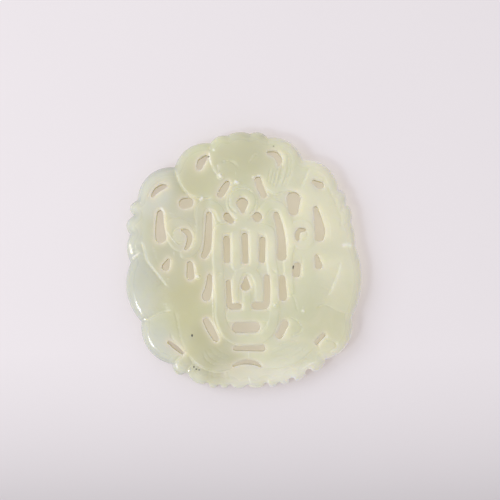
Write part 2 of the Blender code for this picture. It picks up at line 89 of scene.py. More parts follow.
# each entry is a notch and the bulge of the lobe that runs from it, clockwise, to the next
OUTLINE = [
    (507, 117, 16), (589, 80, 15), (705, 71, 18),            # crown
    (788, 89, 40), (967, 200, 51),                           # right wing, shoulder
    (1145, 354, 3), (1173, 362, 8), (1179, 426, 3), (1203, 440, 8),
    (1208, 511, 8),                                          # right frill
    (1230, 632, 41), (1211, 988, 55),                        # right leaf, peach
    (1076, 1197, 8), (1058, 1240, 14), (1003, 1247, 8), (966, 1287, 7),
    (928, 1303, 2), (914, 1288, 21), (850, 1311, 20),
    (786, 1316, 18), (692, 1326, 16), (605, 1325, 14), (550, 1327, 16),
    (487, 1318, 20), (396, 1273, 1), (366, 1274, 21),        # hem and knob
    (320, 1222, 55), (162, 1009, 47),                        # left peach, leaf
    (108, 713, 19), (106, 571, 2), (92, 556, 6), (92, 505, 1),
    (125, 477, 3), (106, 455, 5), (109, 424, 2),             # left frill
    (142, 402, 56), (327, 238, 42),                          # left shoulder, wing
]
# round nicks filed between the lobes of the hem: centre and radius
NICKS = [
    (381, 1283, 17), (487, 1326, 13), (550, 1335, 12), (606, 1336, 13), (692, 1338, 14),
    (785, 1329, 15), (850, 1323, 12), (913, 1302, 15), (998, 1262, 18),
]

# piercings: a saw cut along a short line, with a half width at each point
OPENINGS = {
    "wing_left": ([(484, 188), (462, 211), (451, 238)], [10, 19, 15]),
    "wing_right": ([(797, 168), (830, 176), (849, 204), (848, 226)], [9, 16, 16, 8]),
    "shoulder_left": ([(219, 380), (238, 354), (264, 338), (284, 334)], [9, 14, 14, 8]),
    "shoulder_right": ([(1024, 314), (1054, 329)], [12, 18]),
    "eye_left": ([(376, 420), (396, 417)], [27, 26]),
    "eye_right": ([(921, 398), (921, 456)], [35, 24]),
    "ear_left": ([(590, 322), (575, 346), (557, 376)], [14, 18, 16]),
    "ear_right": ([(744, 302), (754, 336), (774, 380)], [16, 18, 14]),
    "bead_left": ([(589, 484), (609, 507)], [17, 15]),
    "bead_right": ([(740, 487), (741, 488)], [23, 23]),
    "ring": ([(666, 421), (668, 461)], [29, 9]),
    "long_left": ([(255, 470), (254, 530), (259, 588)], [16, 22, 28]),
    "long_right": ([(1031, 446), (1043, 500), (1053, 556), (1050, 588)], [12, 20, 26, 22]),
    "curl_left": ([(368, 554), (391, 562), (404, 590), (397, 622), (385, 645)], [8, 13, 14, 12, 8]),
    "curl_right": ([(973, 552), (950, 555), (938, 577), (941, 598)], [8, 11, 12, 9]),
    "drop_left": ([(297, 704), (284, 735)], [9, 20]),
    "drop_right": ([(1036, 684), (1045, 728)], [9, 19]),
    "oval_left": ([(405, 724), (408, 782)], [15, 20]),
    "oval_right": ([(940, 730), (934, 768)], [16, 20]),
    "slit_left": ([(500, 476), (498, 560), (491, 640), (475, 680)], [14, 18, 19, 15]),
    "slit_right": ([(834, 478), (851, 535), (861, 600), (862, 682)], [15, 17, 20, 23]),
    "gap_left": ([(504, 784), (499, 838), (487, 884)], [12, 17, 22]),
    "gap_right": ([(864, 795), (868, 885)], [16, 20]),
    "foot_left": ([(487, 1006), (508, 1046), (534, 1094)], [16, 19, 15]),
    "foot_right": ([(877, 1019), (850, 1076)], [18, 17]),
    "bar_left": ([(588, 598), (590, 702)], [16, 16]),
    "bar_middle": ([(678, 582), (682, 706)], [15, 15]),
    "bar_right": ([(766, 602), (764, 702)], [15, 15]),
    "elbow_left": ([(596, 812), (600, 880), (606, 930), (648, 932)], [11, 12, 14, 15]),
    "elbow_right": ([(787, 789), (789, 870), (780, 925), (732, 930)], [15, 15, 17, 18]),
    "seed": ([(684, 790), (682, 832)], [5, 23]),
    "tray": ([(641, 1038), (727, 1036)], [26, 26]),
    "sill": ([(631, 1142), (766, 1141)], [11, 15]),
    "peach_left": ([(300, 1112), (334, 1136), (366, 1164)], [8, 12, 8]),
    "peach_right": ([(1069, 1076), (1034, 1113)], [10, 10]),
    "arch": ([(622, 1228), (656, 1214), (695, 1209), (735, 1217), (755, 1230)], [5, 9, 12, 10, 5]),
}

# raised strands: line, half width in steps, height in mm
STRANDS = {
    "frame": ([(668, 518), (600, 541), (556, 552), (543, 590), (543, 700), (550, 800), (556, 900),
               (558, 985), (588, 1060), (640, 1096), (700, 1101), (758, 1092), (802, 1052), (822, 990),
               (827, 890), (822, 780), (810, 700), (806, 600), (796, 556), (740, 540), (668, 518)], 27, 0.16),
    "left_bar": ([(640, 520), (634, 560), (635, 650), (637, 730)], 26, 0.13),
    "right_bar": ([(706, 520), (722, 560), (722, 650), (724, 730)], 25, 0.13),
    "arch_left": ([(686, 742), (655, 760), (636, 800), (628, 850), (628, 895)], 21, 0.13),
    "arch_right": ([(686, 742), (720, 762), (742, 800), (750, 850), (748, 890)], 22, 0.13),
    "post": ([(689, 860), (689, 985)], 22, 0.13),
    "sole": ([(612, 980), (800, 980)], 28, 0.13),
    "ring": ([(668, 490), (622, 448), (612, 408), (630, 372), (666, 358), (700, 372), (718, 408),
              (710, 448), (668, 490)], 27, 0.18),
    "hook_left": ([(566, 492), (545, 448), (508, 424), (470, 432), (449, 475), (448, 560), (440, 622),
                   (412, 662), (380, 672)], 24, 0.14),
    "hook_right": ([(764, 470), (790, 434), (826, 424), (862, 446), (888, 500), (902, 560), (908, 620),
                    (893, 690), (897, 800), (900, 860)], 24, 0.14),
    "scroll_left": ([(345, 560), (365, 590)], 70, 0.12),
    "scroll_right": ([(962, 560), (968, 585)], 62, 0.12),
}

# gentle swells: centre, half widths across and up in steps, height in mm
SWELLS = {
    "bat_back": ((662, 165), (135, 80), 0.30),
    "leaf_left": ((180, 820), (60, 130), 0.15),
    "leaf_right": ((1165, 820), (60, 130), 0.15),
}

# overlapping forms: line, depth and reach in mm; the ground on the right-hand
# side of the walk is sunk and climbs back over the reach
OVERLAPS = {
    "wing_left": ([(327, 238), (345, 295), (366, 338), (397, 372), (432, 388), (472, 391), (522, 386)], 0.46, 1.6),
    "wing_right": ([(778, 330), (795, 356), (828, 371), (862, 362), (900, 357), (950, 356)], 0.37, 1.6),
    "wing_right_edge": ([(1002, 239), (978, 300), (950, 356)], 0.18, 1.2),
    "body_left": ([(497, 160), (512, 225), (532, 262), (554, 284)], 0.22, 1.3),
    "leaf_left": ([(166, 600), (178, 656), (192, 705), (236, 763), (300, 842)], 0.28, 2.2),
    "leaf_right": ([(1158, 700), (1142, 768), (1113, 840), (1085, 895)], 0.24, 2.0),
    "peach_left": ([(316, 958), (266, 964), (228, 981), (196, 998), (160, 1005)], 0.26, 1.4),
    "peach_right": ([(1027, 951), (1050, 928), (1078, 921), (1105, 930), (1138, 950), (1175, 962),
                     (1209, 985)], 0.13, 1.2),
    "hem_left": ([(391, 1161), (425, 1208), (476, 1240), (540, 1256), (600, 1246), (626, 1234)], 0.34, 4.0),
    "hem_right": ([(752, 1236), (800, 1240), (860, 1237), (930, 1215), (985, 1175), (1038, 1120)], 0.18, 4.0),
    "tip_right": ([(930, 1250), (993, 1227), (1038, 1203)], 0.05, 1.0),
    "bead_tail": ([(403, 698), (430, 735), (445, 782)], 0.07, 0.8),
}

# cut lines: line, half width and depth in mm
CUTS = {
    "ring_line": ([(640, 470), (606, 440), (598, 405), (612, 368), (640, 350), (668, 345), (700, 354),
                   (728, 378), (736, 415), (722, 455), (700, 478)], 0.28, 0.18),
    "crown_a": ([(589, 80), (598, 112)], 0.38, 0.05),
    "crown_b": ([(705, 71), (702, 106)], 0.38, 0.05),
    "crown_c": ([(788, 89), (798, 130)], 0.38, 0.05),
    "crown_d": ([(507, 117), (500, 160)], 0.38, 0.12),
    "horn_left": ([(643, 241), (620, 216), (589, 206), (556, 212)], 0.28, 0.10),
    "horn_right": ([(694, 224), (714, 192), (755, 163)], 0.28, 0.08),
    "body_left_b": ([(545, 215), (552, 262)], 0.24, 0.14),
    "fan_1": ([(835, 150), (860, 176), (867, 212), (863, 250), (856, 290), (838, 345)], 0.27, 0.13),
    "fan_2": ([(866, 138), (892, 176), (897, 222), (886, 282), (862, 338)], 0.27, 0.13),
    "fan_3": ([(878, 140), (905, 178), (911, 225), (900, 285), (876, 340)], 0.24, 0.10),
    "fan_4": ([(858, 246), (848, 300), (834, 350)], 0.22, 0.11),
    "fan_5": ([(842, 244), (832, 290), (820, 340)], 0.22, 0.11),
    "fan_6": ([(826, 248), (816, 290), (806, 330)], 0.22, 0.10),
    "fan_7": ([(808, 240), (798, 285), (792, 318)], 0.22, 0.09),
    "cape_right": ([(1016, 281), (1056, 281), (1080, 314), (1121, 396)], 0.30, 0.08),
    "cape_left": ([(288, 302), (240, 322), (210, 355), (192, 398)], 0.30, 0.10),
    "frill_r1": ([(1145, 354), (1125, 396), (1142, 448), (1157, 490), (1157, 540)], 0.30, 0.05),
    "frill_r2": ([(1179, 426), (1162, 442), (1150, 462)], 0.33, 0.08),
    "frill_r3": ([(1208, 511), (1190, 518), (1165, 532)], 0.33, 0.08),
    "frill_r4": ([(1232, 632), (1200, 629), (1160, 628)], 0.4, 0.12),
    "frill_l3": ([(108, 713), (128, 693), (160, 660)], 0.38, 0.16),
    "frill_l4": ([(142, 402), (164, 430), (168, 480), (166, 600)], 0.27, 0.04),
    "scroll_l": ([(368, 553), (350, 540), (325, 556), (322, 590), (345, 616), (372, 610)], 0.28, 0.12),
    "scroll_r": ([(973, 552), (990, 566), (984, 592), (960, 600)], 0.28, 0.12),
    "hook_line": ([(430, 470), (432, 560), (424, 625), (396, 652)], 0.27, 0.12),
    "peach_l1": ([(326, 956), (336, 980), (344, 1022), (356, 1088), (373, 1131), (391, 1161)], 0.27, 0.06),
    "peach_l2": ([(309, 1063), (315, 1088), (339, 1116)], 0.22, 0.08),
    "knob_a": ([(320, 1222), (345, 1192), (391, 1161)], 0.32, 0.13),
    "knob_b": ([(381, 1268), (400, 1240), (425, 1208)], 0.32, 0.1),
    "stem_r1": ([(966, 680), (964, 740), (960, 797)], 0.24, 0.10),
    "stem_r2": ([(906, 868), (924, 890), (941, 960)], 0.24, 0.07),
    "leaflet_a": ([(890, 981), (926, 995), (964, 1034)], 0.24, 0.11),
    "leaflet_b": ([(964, 1034), (950, 1063), (905, 1082)], 0.27, 0.14),
    "oval_r": ([(1050, 1150), (1044, 1123), (1062, 1106), (1090, 1099), (1121, 1107), (1134, 1131),
                (1113, 1157), (1082, 1170)], 0.27, 0.18),
    "tail_r": ([(1076, 1197), (1050, 1176), (1020, 1152)], 0.38, 0.1),
    "comb_r1": ([(800, 1157), (856, 1123), (890, 1112), (950, 1101)], 0.24, 0.08),
    "comb_r2": ([(806, 1176), (868, 1149), (925, 1124), (962, 1106)], 0.24, 0.08),
    "comb_r3": ([(818, 1190), (888, 1176), (935, 1150), (970, 1122)], 0.24, 0.08),
    "comb_r4": ([(840, 1205), (895, 1194), (948, 1164), (990, 1132)], 0.24, 0.08),
    "comb_l1": ([(468, 1160), (489, 1200), (532, 1223), (588, 1221), (615, 1211)], 0.27, 0.06),
    "comb_l2": ([(482, 1148), (506, 1184), (545, 1206), (592, 1206)], 0.24, 0.05),
    "comb_l3": ([(500, 1138), (530, 1170), (570, 1190), (606, 1192)], 0.24, 0.05),
    "comb_l4": ([(526, 1130), (560, 1158), (609, 1180)], 0.24, 0.04),
    "shoulder_f": ([(534, 781), (548, 770), (566, 762)], 0.24, 0.18),
    "shoulder_g": ([(812, 745), (826, 760), (840, 768)], 0.24, 0.18),
    "band_l": ([(226, 440), (221, 536), (225, 630), (238, 720)], 0.28, 0.03),
}

# rounded beads: centre, radius in steps, height in mm
BEADS = {
    "ball_left": ((554, 284), 13, 0.40), "ball_middle": ((636, 314), 10, 0.30),
    "bat_eye_a": ((720, 287), 6, 0.25), "bat_eye_b": ((747, 285), 8, 0.25),
    "ball_tail": ((445, 784), 12, 0.35), "ball_right": ((969, 955), 9, 0.12),
    "frill_dish": ((126, 668), 26, -0.20),
    "dot_wing": ((463, 395), 10, 0.30), "dot_leg": ((828, 925), 9, 0.25),
}

# painted highlights along arrises and on beads, each also raised a hair: line, half width in steps, strength
GLINTS = {
    "body_left": ([(499, 160), (503, 200), (512, 234)], 4.5, 0.95),
    "body_left_b": ([(540, 220), (548, 266)], 3.5, 0.85),
    "body_left_c": ([(515, 240), (528, 262), (542, 276)], 3.0, 0.60),
    "wing_dot": ([(521, 152), (524, 154)], 7, 0.90),
    "ball_left": ([(550, 278), (558, 286)], 10, 0.75),
    "ball_middle": ([(632, 312), (640, 316)], 8, 0.85),
    "eye_a": ([(718, 284), (721, 288)], 5, 0.55),
    "eye_b": ([(742, 284), (752, 281)], 5, 0.60),
    "horn": ([(692, 226), (701, 203), (720, 178), (750, 164)], 5.0, 0.40),
    "brow": ([(632, 255), (634, 285)], 3.0, 0.45),
    "shoulder": ([(253, 440), (264, 446), (280, 473)], 6, 0.80),
    "cheek": ([(505, 456), (520, 480), (532, 516)], 3.5, 0.70),
    "cheek_top": ([(501, 451), (505, 457)], 5, 0.80),
    "cheek_end": ([(531, 515), (533, 519)], 4.5, 0.70),
    "shoulder_b": ([(293, 464), (328, 475)], 3, 0.45),
    "band": ([(218, 592), (222, 640), (238, 708)], 9, 0.30),
    "bar_top_l": ([(592, 557), (600, 556)], 5, 0.30),
    "bar_top": ([(668, 548), (684, 545)], 6, 0.42),
    "bar_top_r": ([(764, 548), (776, 552), (780, 570)], 3.5, 0.35),
    "bar_mid_right": ([(697, 666), (704, 690), (716, 712)], 3, 0.35),
    "bar_left_end": ([(607, 712), (609, 739)], 3, 0.45),
    "seed_right": ([(701, 796), (712, 842)], 3, 0.38),
    "dot_wing": ([(455, 400), (466, 394)], 8, 0.75),
    "ball_tail": ([(442, 782), (446, 786)], 8, 0.60),
    "bead_tail": ([(403, 698), (430, 735), (442, 772)], 4, 0.45),
    "stem_left": ([(324, 655), (326, 686)], 4, 0.45),
    "leaf_dot": ([(294, 795), (297, 796)], 5, 0.50),
    "peach_dot": ([(274, 921), (286, 921)], 5, 0.45),
    "peach_dot_b": ([(298, 952), (308, 953)], 5, 0.35),
    "peach_dot_c": ([(208, 985), (220, 981)], 5, 0.30),
    "frame_left": ([(517, 741), (517, 850), (519, 960), (524, 1010), (548, 1062), (588, 1109)], 3.2, 0.75),
    "frame_left_top": ([(522, 600), (519, 680), (517, 738)], 3, 0.35),
    "frame_right": ([(803, 950), (798, 1000), (780, 1034)], 4, 0.40),
    "elbow": ([(612, 790), (612, 850), (613, 888), (622, 910), (648, 912)], 3.2, 0.50),
    "arch_top": ([(644, 752), (664, 742), (690, 744)], 5, 0.42),
    "bar_right": ([(790, 700), (792, 762)], 4, 0.30),
    "hook": ([(900, 626), (905, 634)], 5, 0.40),
    "dot_leg": ([(827, 924), (830, 926)], 6, 0.55),
    "ball_right": ([(967, 953), (971, 956)], 8, 0.70),
    "ball_right_stem": ([(965, 925), (968, 944)], 3, 0.40),
    "stem_right": ([(961, 772), (960, 798)], 4, 0.50),
    "strand_left": ([(289, 558), (315, 596), (346, 630)], 3.4, 0.80),
    "frill_spot": ([(103, 616), (106, 636), (110, 654), (118, 676)], 8, 0.88),
    "frill_stroke": ([(117, 690), (130, 680), (154, 664)], 5, 0.90),
    "frill_rib": ([(131, 620), (136, 648)], 3, 0.60),
    "frill_top": ([(152, 404), (160, 424)], 4, 0.45),
    "leaf_top": ([(163, 605), (170, 650)], 4, 0.60),
    "peach_tip": ([(168, 1003), (186, 995)], 5, 0.50),
    "hem_left": ([(424, 1206), (446, 1220), (472, 1236)], 5, 0.45),
    "hem_right": ([(960, 1246), (982, 1233), (1010, 1216), (1042, 1208)], 4.5, 0.70),
    "knob": ([(336, 1222), (341, 1238)], 7, 0.70),
    "cape": ([(1078, 302), (1102, 345), (1126, 392)], 3, 0.30),
    "cape_low": ([(1128, 400), (1150, 450), (1162, 500)], 3, 0.22),
    "peach_right": ([(1099, 1161), (1114, 1152), (1132, 1136)], 6, 0.60),
    "peach_neck": ([(1090, 1070), (1086, 1098)], 5, 0.50),
    "slot_right": ([(1065, 425), (1087, 486), (1104, 538), (1102, 600), (1100, 668)], 3.5, 0.40),
    "leaf_line": ([(176, 668), (192, 702), (226, 750), (262, 795), (290, 832)], 3.5, 0.45),
    "frill_right": ([(1158, 632), (1188, 627), (1218, 632)], 14, 0.85),
    "crest_top": ([(696, 1152), (697, 1200)], 4, 0.60),
    "crest": ([(696, 1280), (701, 1300), (709, 1321)], 4, 0.85),
    "crest_side": ([(794, 1292), (795, 1330)], 4.5, 0.75),
}

# shallow lines on the back: line, half width and depth in mm
BACK_CUTS = {
    "crown_a": ([(589, 80), (606, 140)], 0.40, 0.25),
    "crown_b": ([(705, 71), (698, 140)], 0.40, 0.25),
    "wing_left": ([(327, 238), (350, 300), (397, 350), (470, 372)], 0.40, 0.25),
    "wing_right": ([(967, 200), (990, 262), (960, 330), (890, 352)], 0.40, 0.25),
    "leaf_left": ([(110, 702), (170, 720), (236, 775), (290, 850)], 0.40, 0.25),
    "leaf_right": ([(1230, 632), (1180, 690), (1130, 780), (1090, 860)], 0.40, 0.25),
    "peach_left": ([(158, 1005), (230, 985), (310, 962)], 0.40, 0.25),
    "peach_right": ([(1211, 988), (1150, 955), (1070, 930)], 0.40, 0.25),
    "hem_left": ([(385, 1264), (450, 1230), (540, 1250), (620, 1240)], 0.40, 0.25),
    "hem_right": ([(978, 1266), (930, 1225), (850, 1245), (762, 1240)], 0.40, 0.25),
}


# -------------------------------------------------------- setting-out helpers
def to_mm(points):
    """sheet steps to millimetres on the slab, x right and y up from the middle"""
    p = np.asarray(points, float)
    return np.stack([(p[:, 0] - SHEET_MIDDLE[0]) * STEP, (SHEET_MIDDLE[1] - p[:, 1]) * STEP], axis=1)


def lobe(start, end, bulge, count):
    """points on the circular arc from start to end (end left out) that bulges outwards"""
    cx, cy = (start[0] + end[0]) / 2, (start[1] + end[1]) / 2
    chord = math.hypot(end[0] - start[0], end[1] - start[1])
    nx, ny = (end[1] - start[1]) / chord, -(end[0] - start[0]) / chord
    radius = chord * chord / (8 * bulge) + bulge / 2
    ox, oy = cx - nx * (radius - bulge), cy - ny * (radius - bulge)
    first = math.atan2(start[1] - oy, start[0] - ox)
    last = math.atan2(end[1] - oy, end[0] - ox)
    sweep = (last - first) % (2 * math.pi)
    return [(ox + radius * math.cos(first + sweep * k / count),
             oy + radius * math.sin(first + sweep * k / count)) for k in range(count)]


def outline(per=16):
    points = []
    for k, (x, y, bulge) in enumerate(OUTLINE):
        nx, ny, _ = OUTLINE[(k + 1) % len(OUTLINE)]
        points += lobe((x, y), (nx, ny), bulge, per)
    return to_mm(points)


def flowing(points, widths, per=9):
    """a smooth curve through the points of a line, with its half width, in millimetres"""
    p = np.array(points, float)
    r = np.array(widths, float)
    if len(p) > 2:
        a = np.vstack([2 * p[0] - p[1], p, 2 * p[-1] - p[-2]])
        ra = np.concatenate([[r[0]], r, [r[-1]]])
        q, s = [], []
        for i in range(1, len(a) - 2):
            for k in range(per):
                t = k / per
                w = (-0.5 * t + t * t - 0.5 * t ** 3, 1 - 2.5 * t * t + 1.5 * t ** 3,
                     0.5 * t + 2 * t * t - 1.5 * t ** 3, -0.5 * t * t + 0.5 * t ** 3)
                q.append(sum(w[j] * a[i - 1 + j] for j in range(4)))
                s.append(ra[i] + (ra[i + 1] - ra[i]) * t)
        p = np.array(q + [p[-1]])
        r = np.array(s + [r[-1]])
    return to_mm(p), r * STEP


def ease(t):
    t = np.clip(t, 0, 1)
    return t * t * (3 - 2 * t)


def along(X, Y, line, width=None):
    """distance to a line less its half width, side (+1 right of the walk), place along it in mm, length"""
    best = np.full(X.shape, 1e9)
    side = np.zeros(X.shape)
    place = np.zeros(X.shape)
    run = 0.0
    for i in range(len(line) - 1):
        ax, ay = line[i]
        dx, dy = line[i + 1] - line[i]
        length = math.hypot(dx, dy) + 1e-9
        t = np.clip(((X - ax) * dx + (Y - ay) * dy) / length ** 2, 0, 1)
        d = np.hypot(X - ax - t * dx, Y - ay - t * dy)
        if width is not None:
            d = d - (width[i] + (width[i + 1] - width[i]) * t)
        near = d < best
        best = np.where(near, d, best)
        side = np.where(near, np.sign(dy * (X - ax) - dx * (Y - ay)), side)
        place = np.where(near, run + t * length, place)
        run += length
    return best, side, place, run


def ripple(X, Y, seed, size):
    """slow hand-made unevenness: a few crossed waves, about -1 to 1"""
    rng = np.random.default_rng(seed)
    Z = np.zeros(np.shape(X))
    for _ in range(9):
        a = rng.uniform(0, math.pi * 2)
        k = 2 * math.pi / (size * rng.uniform(0.7, 1.8))
        Z = Z + np.sin(k * (X * math.cos(a) + Y * math.sin(a)) + rng.uniform(0, 6.28))
    return Z / 5.0


def brushed(Z, sigma):
    """a small round brush over a whole sheet"""
    n = max(1, int(3 * sigma / CELL))
    brush = np.exp(-0.5 * (np.arange(-n, n + 1) * CELL / sigma) ** 2)
    brush /= brush.sum()
    P = np.pad(Z, n, mode="edge")
    rows = sum(b * P[:, k:k + Z.shape[1]] for k, b in enumerate(brush))
    return sum(b * rows[k:k + Z.shape[0], :] for k, b in enumerate(brush))


class Slab:
    """the working sheet: distances to the edges and the relief of the face and back, cell by cell"""

    def __init__(self):
        edge = outline()
        low, high = edge.min(axis=0) - 1.0, edge.max(axis=0) + 1.0
        self.x = np.arange(low[0], high[0] + CELL, CELL)
        self.y = np.arange(low[1], high[1] + CELL, CELL)
        self.X, self.Y = np.meshgrid(self.x, self.y)
        self.to_outline = self.outline_distance(edge)
        low_down = ease((HEM_LEVEL - self.Y) / 4.0)
        self.to_rim = (brushed(self.to_outline, RIM_BLEND) * (1 - low_down)
                       + brushed(self.to_outline, HEM_BLEND) * low_down)
        for x, y, radius in NICKS:
            c = to_mm([(x, y)])[0]
            away = np.hypot(self.X - c[0], self.Y - c[1]) - radius * STEP
            self.to_outline = np.minimum(self.to_outline, away)
        self.to_slot = np.full(self.X.shape, 9.0)
        for line, widths in OPENINGS.values():
            p, r = flowing(line, widths)
            w = self.window(p, 4.0)
            self.to_slot[w] = np.minimum(self.to_slot[w], along(self.X[w], self.Y[w], p, r)[0])
        self.inside = np.minimum(self.to_outline, self.to_slot)
        self.face = brushed(self.relief(), SOFTEN)
        self.back = brushed(self.back_relief(), SOFTEN)
        finished = self.rounded(self.face, self.to_rim, self.to_outline, self.to_slot)
        self.scale = THICKNESS / finished[self.inside > 0].max()

    def window(self, p, reach):
        i = np.searchsorted(self.x, [p[:, 0].min() - reach, p[:, 0].max() + reach])
        j = np.searchsorted(self.y, [p[:, 1].min() - reach, p[:, 1].max() + reach])
        return slice(j[0], j[1] + 1), slice(i[0], i[1] + 1)

    def outline_distance(self, edge):
        """distance to the outline, positive inside"""
        best = np.full(self.X.shape, 1e9)
        inside = np.zeros(self.X.shape, bool)
        for (ax, ay), (bx, by) in zip(edge, np.roll(edge, -1, axis=0)):
            dx, dy = bx - ax, by - ay
            t = np.clip(((self.X - ax) * dx + (self.Y - ay) * dy) / (dx * dx + dy * dy), 0, 1)
            best = np.minimum(best, (self.X - ax - t * dx) ** 2 + (self.Y - ay - t * dy) ** 2)
            if abs(dy) > 1e-12:
                inside ^= ((self.Y < ay) != (self.Y < by)) & (self.X < ax + (self.Y - ay) * dx / dy)
        return np.sqrt(best) * np.where(inside, 1.0, -1.0)

    def relief(self):
        """the face before its edges are rounded"""
        inland = np.maximum(brushed(self.to_outline, CROWN_BLEND), 0)
        swell = 1 - np.exp(-(inland / CROWN_REACH) ** 1.25)
        Z = RIM_LEVEL + CROWN_RISE * swell
        raised = np.zeros(Z.shape)
        for line, half, rise in STRANDS.values():
            p, r = flowing(line, [half] * len(line))
            w = self.window(p, half * STEP + 0.5)
            d = along(self.X[w], self.Y[w], p, r)[0]
            raised[w] = np.maximum(raised[w], rise * ease(-d / STRAND_SHOULDER))
        Z += raised
        for centre, (across, up), rise in SWELLS.values():
            c = to_mm([centre])[0]
            u, v = (self.X - c[0]) / (across * STEP), (self.Y - c[1]) / (up * STEP)
            Z += rise * np.exp(-(u * u + v * v) ** 1.5)
        for line, depth, reach in OVERLAPS.values():
            p, _ = flowing(line, [0] * len(line))
            w = self.window(p, 3 * reach)
            d, side, place, length = along(self.X[w], self.Y[w], p)
            fade = 1.0 + 0.6 * reach
            ends = np.minimum(ease(place / fade), ease((length - place) / fade))
            s = d * side
            hand = 1 + 0.08 * np.sin(place * 4.1 + 2 * np.sin(place * 1.7))
            Z[w] -= depth * ends * hand * np.exp(-np.maximum(s, 0) / reach) * ease((s + 0.11) / 0.22)
        Z -= self.cuts(CUTS)
        for centre, radius, rise in BEADS.values():
            c = to_mm([centre])
            r = radius * STEP
            w = self.window(c, r * 1.2)
            d = np.hypot(self.X[w] - c[0, 0], self.Y[w] - c[0, 1]) / r
            dome = np.clip(1 - d * d, 0, 1)
            Z[w] += rise * (np.sqrt(dome) if rise > 0 else dome ** 1.5)
        self.glint = self.glints()
        return Z + 0.035 * self.glint + 0.02 * ripple(self.X, self.Y, 5, 6.0)

    def glints(self):
        """how strongly each place of the face carries a painted highlight"""
        highlight_strength = np.zeros(self.X.shape)
        for line, half, strength in GLINTS.values():
            p, _ = flowing(line, [0] * len(line))
            reach = half * STEP
            w = self.window(p, 3 * reach)
            d, _, place, length = along(self.X[w], self.Y[w], p)
            ends = 0.35 + 0.65 * np.sin(math.pi * np.clip(place / length, 0, 1)) ** 0.6
            ends = 1.0 if length < 0.8 else ends
            hand = 1 - 0.18 * (1 + np.sin(place * 5.3 + 2 * np.sin(place * 2.3)))
            highlight_strength[w] = np.maximum(highlight_strength[w], strength * ends * hand * np.exp(-(d / reach) ** 2))
        return highlight_strength

    def cuts(self, lines):
        depth_map = np.zeros(self.X.shape)
        for line, half, depth in lines.values():
            p, _ = flowing(line, [0] * len(line))
            w = self.window(p, 3 * half)
            d, _, place, length = along(self.X[w], self.Y[w], p)
            ends = 0.15 + 0.85 * np.minimum(ease(place / 0.8), ease((length - place) / 0.8))
            ends = ends * (1 + 0.22 * np.sin(place * 4.7 + 2 * np.sin(place * 1.9)))
            depth_map[w] = np.maximum(depth_map[w], depth * ends * np.exp(-(d / half) ** 2))
        return depth_map

    def back_relief(self):
        return self.cuts(BACK_CUTS)

    def at(self, field, p):
        """a field's value at points, by a smooth curve through the four cells each way"""
        u = (p[:, 0] - self.x[0]) / CELL
        v = (p[:, 1] - self.y[0]) / CELL
        i = np.clip(u.astype(int), 1, len(self.x) - 3)
        j = np.clip(v.astype(int), 1, len(self.y) - 3)
        a, b = u - i, v - j

        def weights(t):
            return (-0.5 * t + t * t - 0.5 * t ** 3, 1 - 2.5 * t * t + 1.5 * t ** 3,
                    0.5 * t + 2 * t * t - 1.5 * t ** 3, -0.5 * t * t + 0.5 * t ** 3)

        wa, wb = weights(a), weights(b)
        out = np.zeros(len(p))
        for m in range(4):
            for n in range(4):
                out += wb[m] * wa[n] * field[j - 1 + m, i - 1 + n]
        return out

    def face_height(self, p, level=None):
        """finished height of the face at points; 'level' is their exact distance to the nearest edge"""
        z = self.at(self.face, p)
        do, ds = self.at(self.to_outline, p), self.at(self.to_slot, p)
        dr = self.at(self.to_rim, p)
        if level is not None:
            outer = do < ds
            do = np.where(outer, level, do)
            ds = np.where(outer, ds, level)
        return np.minimum(self.rounded(z, dr, do, ds) * self.scale, THICKNESS - 0.002)

    def rounded(self, z, to_rim, to_outline, to_slot):
        """elliptical rounding of the rim, of the lobes cut into it and of every slot's edge"""
        for d, (width, drop) in ((to_rim, OUTER_ROUND), (to_outline, LOBE_ROUND), (to_slot, SLOT_ROUND)):
            a = np.clip(1 - np.maximum(d, 0) / width, 0, 1)
            z = z - drop * (1 - np.sqrt(1 - a * a))
        return z


def level_rings(slab, level):
    """closed rings where the inside distance equals the level, followed from cell to cell"""
    F = slab.inside - level
    F = np.where(np.abs(F) < 1e-9, 1e-9, F)
    up = F > 0
    point = {}

    def crossing(key):
        kind, j, i = key
        if key not in point:
            if kind == 0:
                t = F[j, i] / (F[j, i] - F[j, i + 1])
                point[key] = (slab.x[i] + t * CELL, slab.y[j])
            else:
                t = F[j, i] / (F[j, i] - F[j + 1, i])
                point[key] = (slab.x[i], slab.y[j] + t * CELL)
        return key

    follow = {}
    mixed = (up[:-1, :-1] != up[:-1, 1:]) | (up[:-1, :-1] != up[1:, :-1]) | (up[:-1, :-1] != up[1:, 1:])
    for j, i in np.argwhere(mixed):
        a, b, c, d = up[j, i], up[j, i + 1], up[j + 1, i + 1], up[j + 1, i]
        sides = [((0, j, i), a, b), ((1, j, i + 1), b, c), ((0, j + 1, i), c, d), ((1, j, i), d, a)]
        out = [crossing(k) for k, p, q in sides if p and not q]
        back = [crossing(k) for k, p, q in sides if q and not p]
        if len(out) == 2:
            centre = (F[j, i] + F[j, i + 1] + F[j + 1, i] + F[j + 1, i + 1]) > 0
            order = [s[0] for s in sides]
            turn = 1 if centre else -1
            pairs = []
            for k in out:
                n = order.index(k)
                pairs.append((k, next(order[(n + turn * m) % 4] for m in (1, 2, 3)
                                      if order[(n + turn * m) % 4] in back)))
        else:
            pairs = [(out[0], back[0])]
        for p, q in pairs:
            follow[p] = q
    rings = []
    while follow:
        first = min(follow)
        ring = [first]
        nxt = follow.pop(first)
        while nxt != first:
            ring.append(nxt)
            nxt = follow.pop(nxt)
        if len(ring) > 12:
            rings.append(np.array([point[k] for k in ring]))
    return rings


def even(ring, spacing):
    """the same ring with evenly spaced points"""
    loop = np.vstack([ring, ring[:1]])
    s = np.concatenate([[0], np.cumsum(np.hypot(*(loop[1:] - loop[:-1]).T))])
    n = max(8, int(round(s[-1] / spacing)))
    t = s[-1] * np.arange(n) / n
    return np.stack([np.interp(t, s, loop[:, 0]), np.interp(t, s, loop[:, 1])], axis=1)


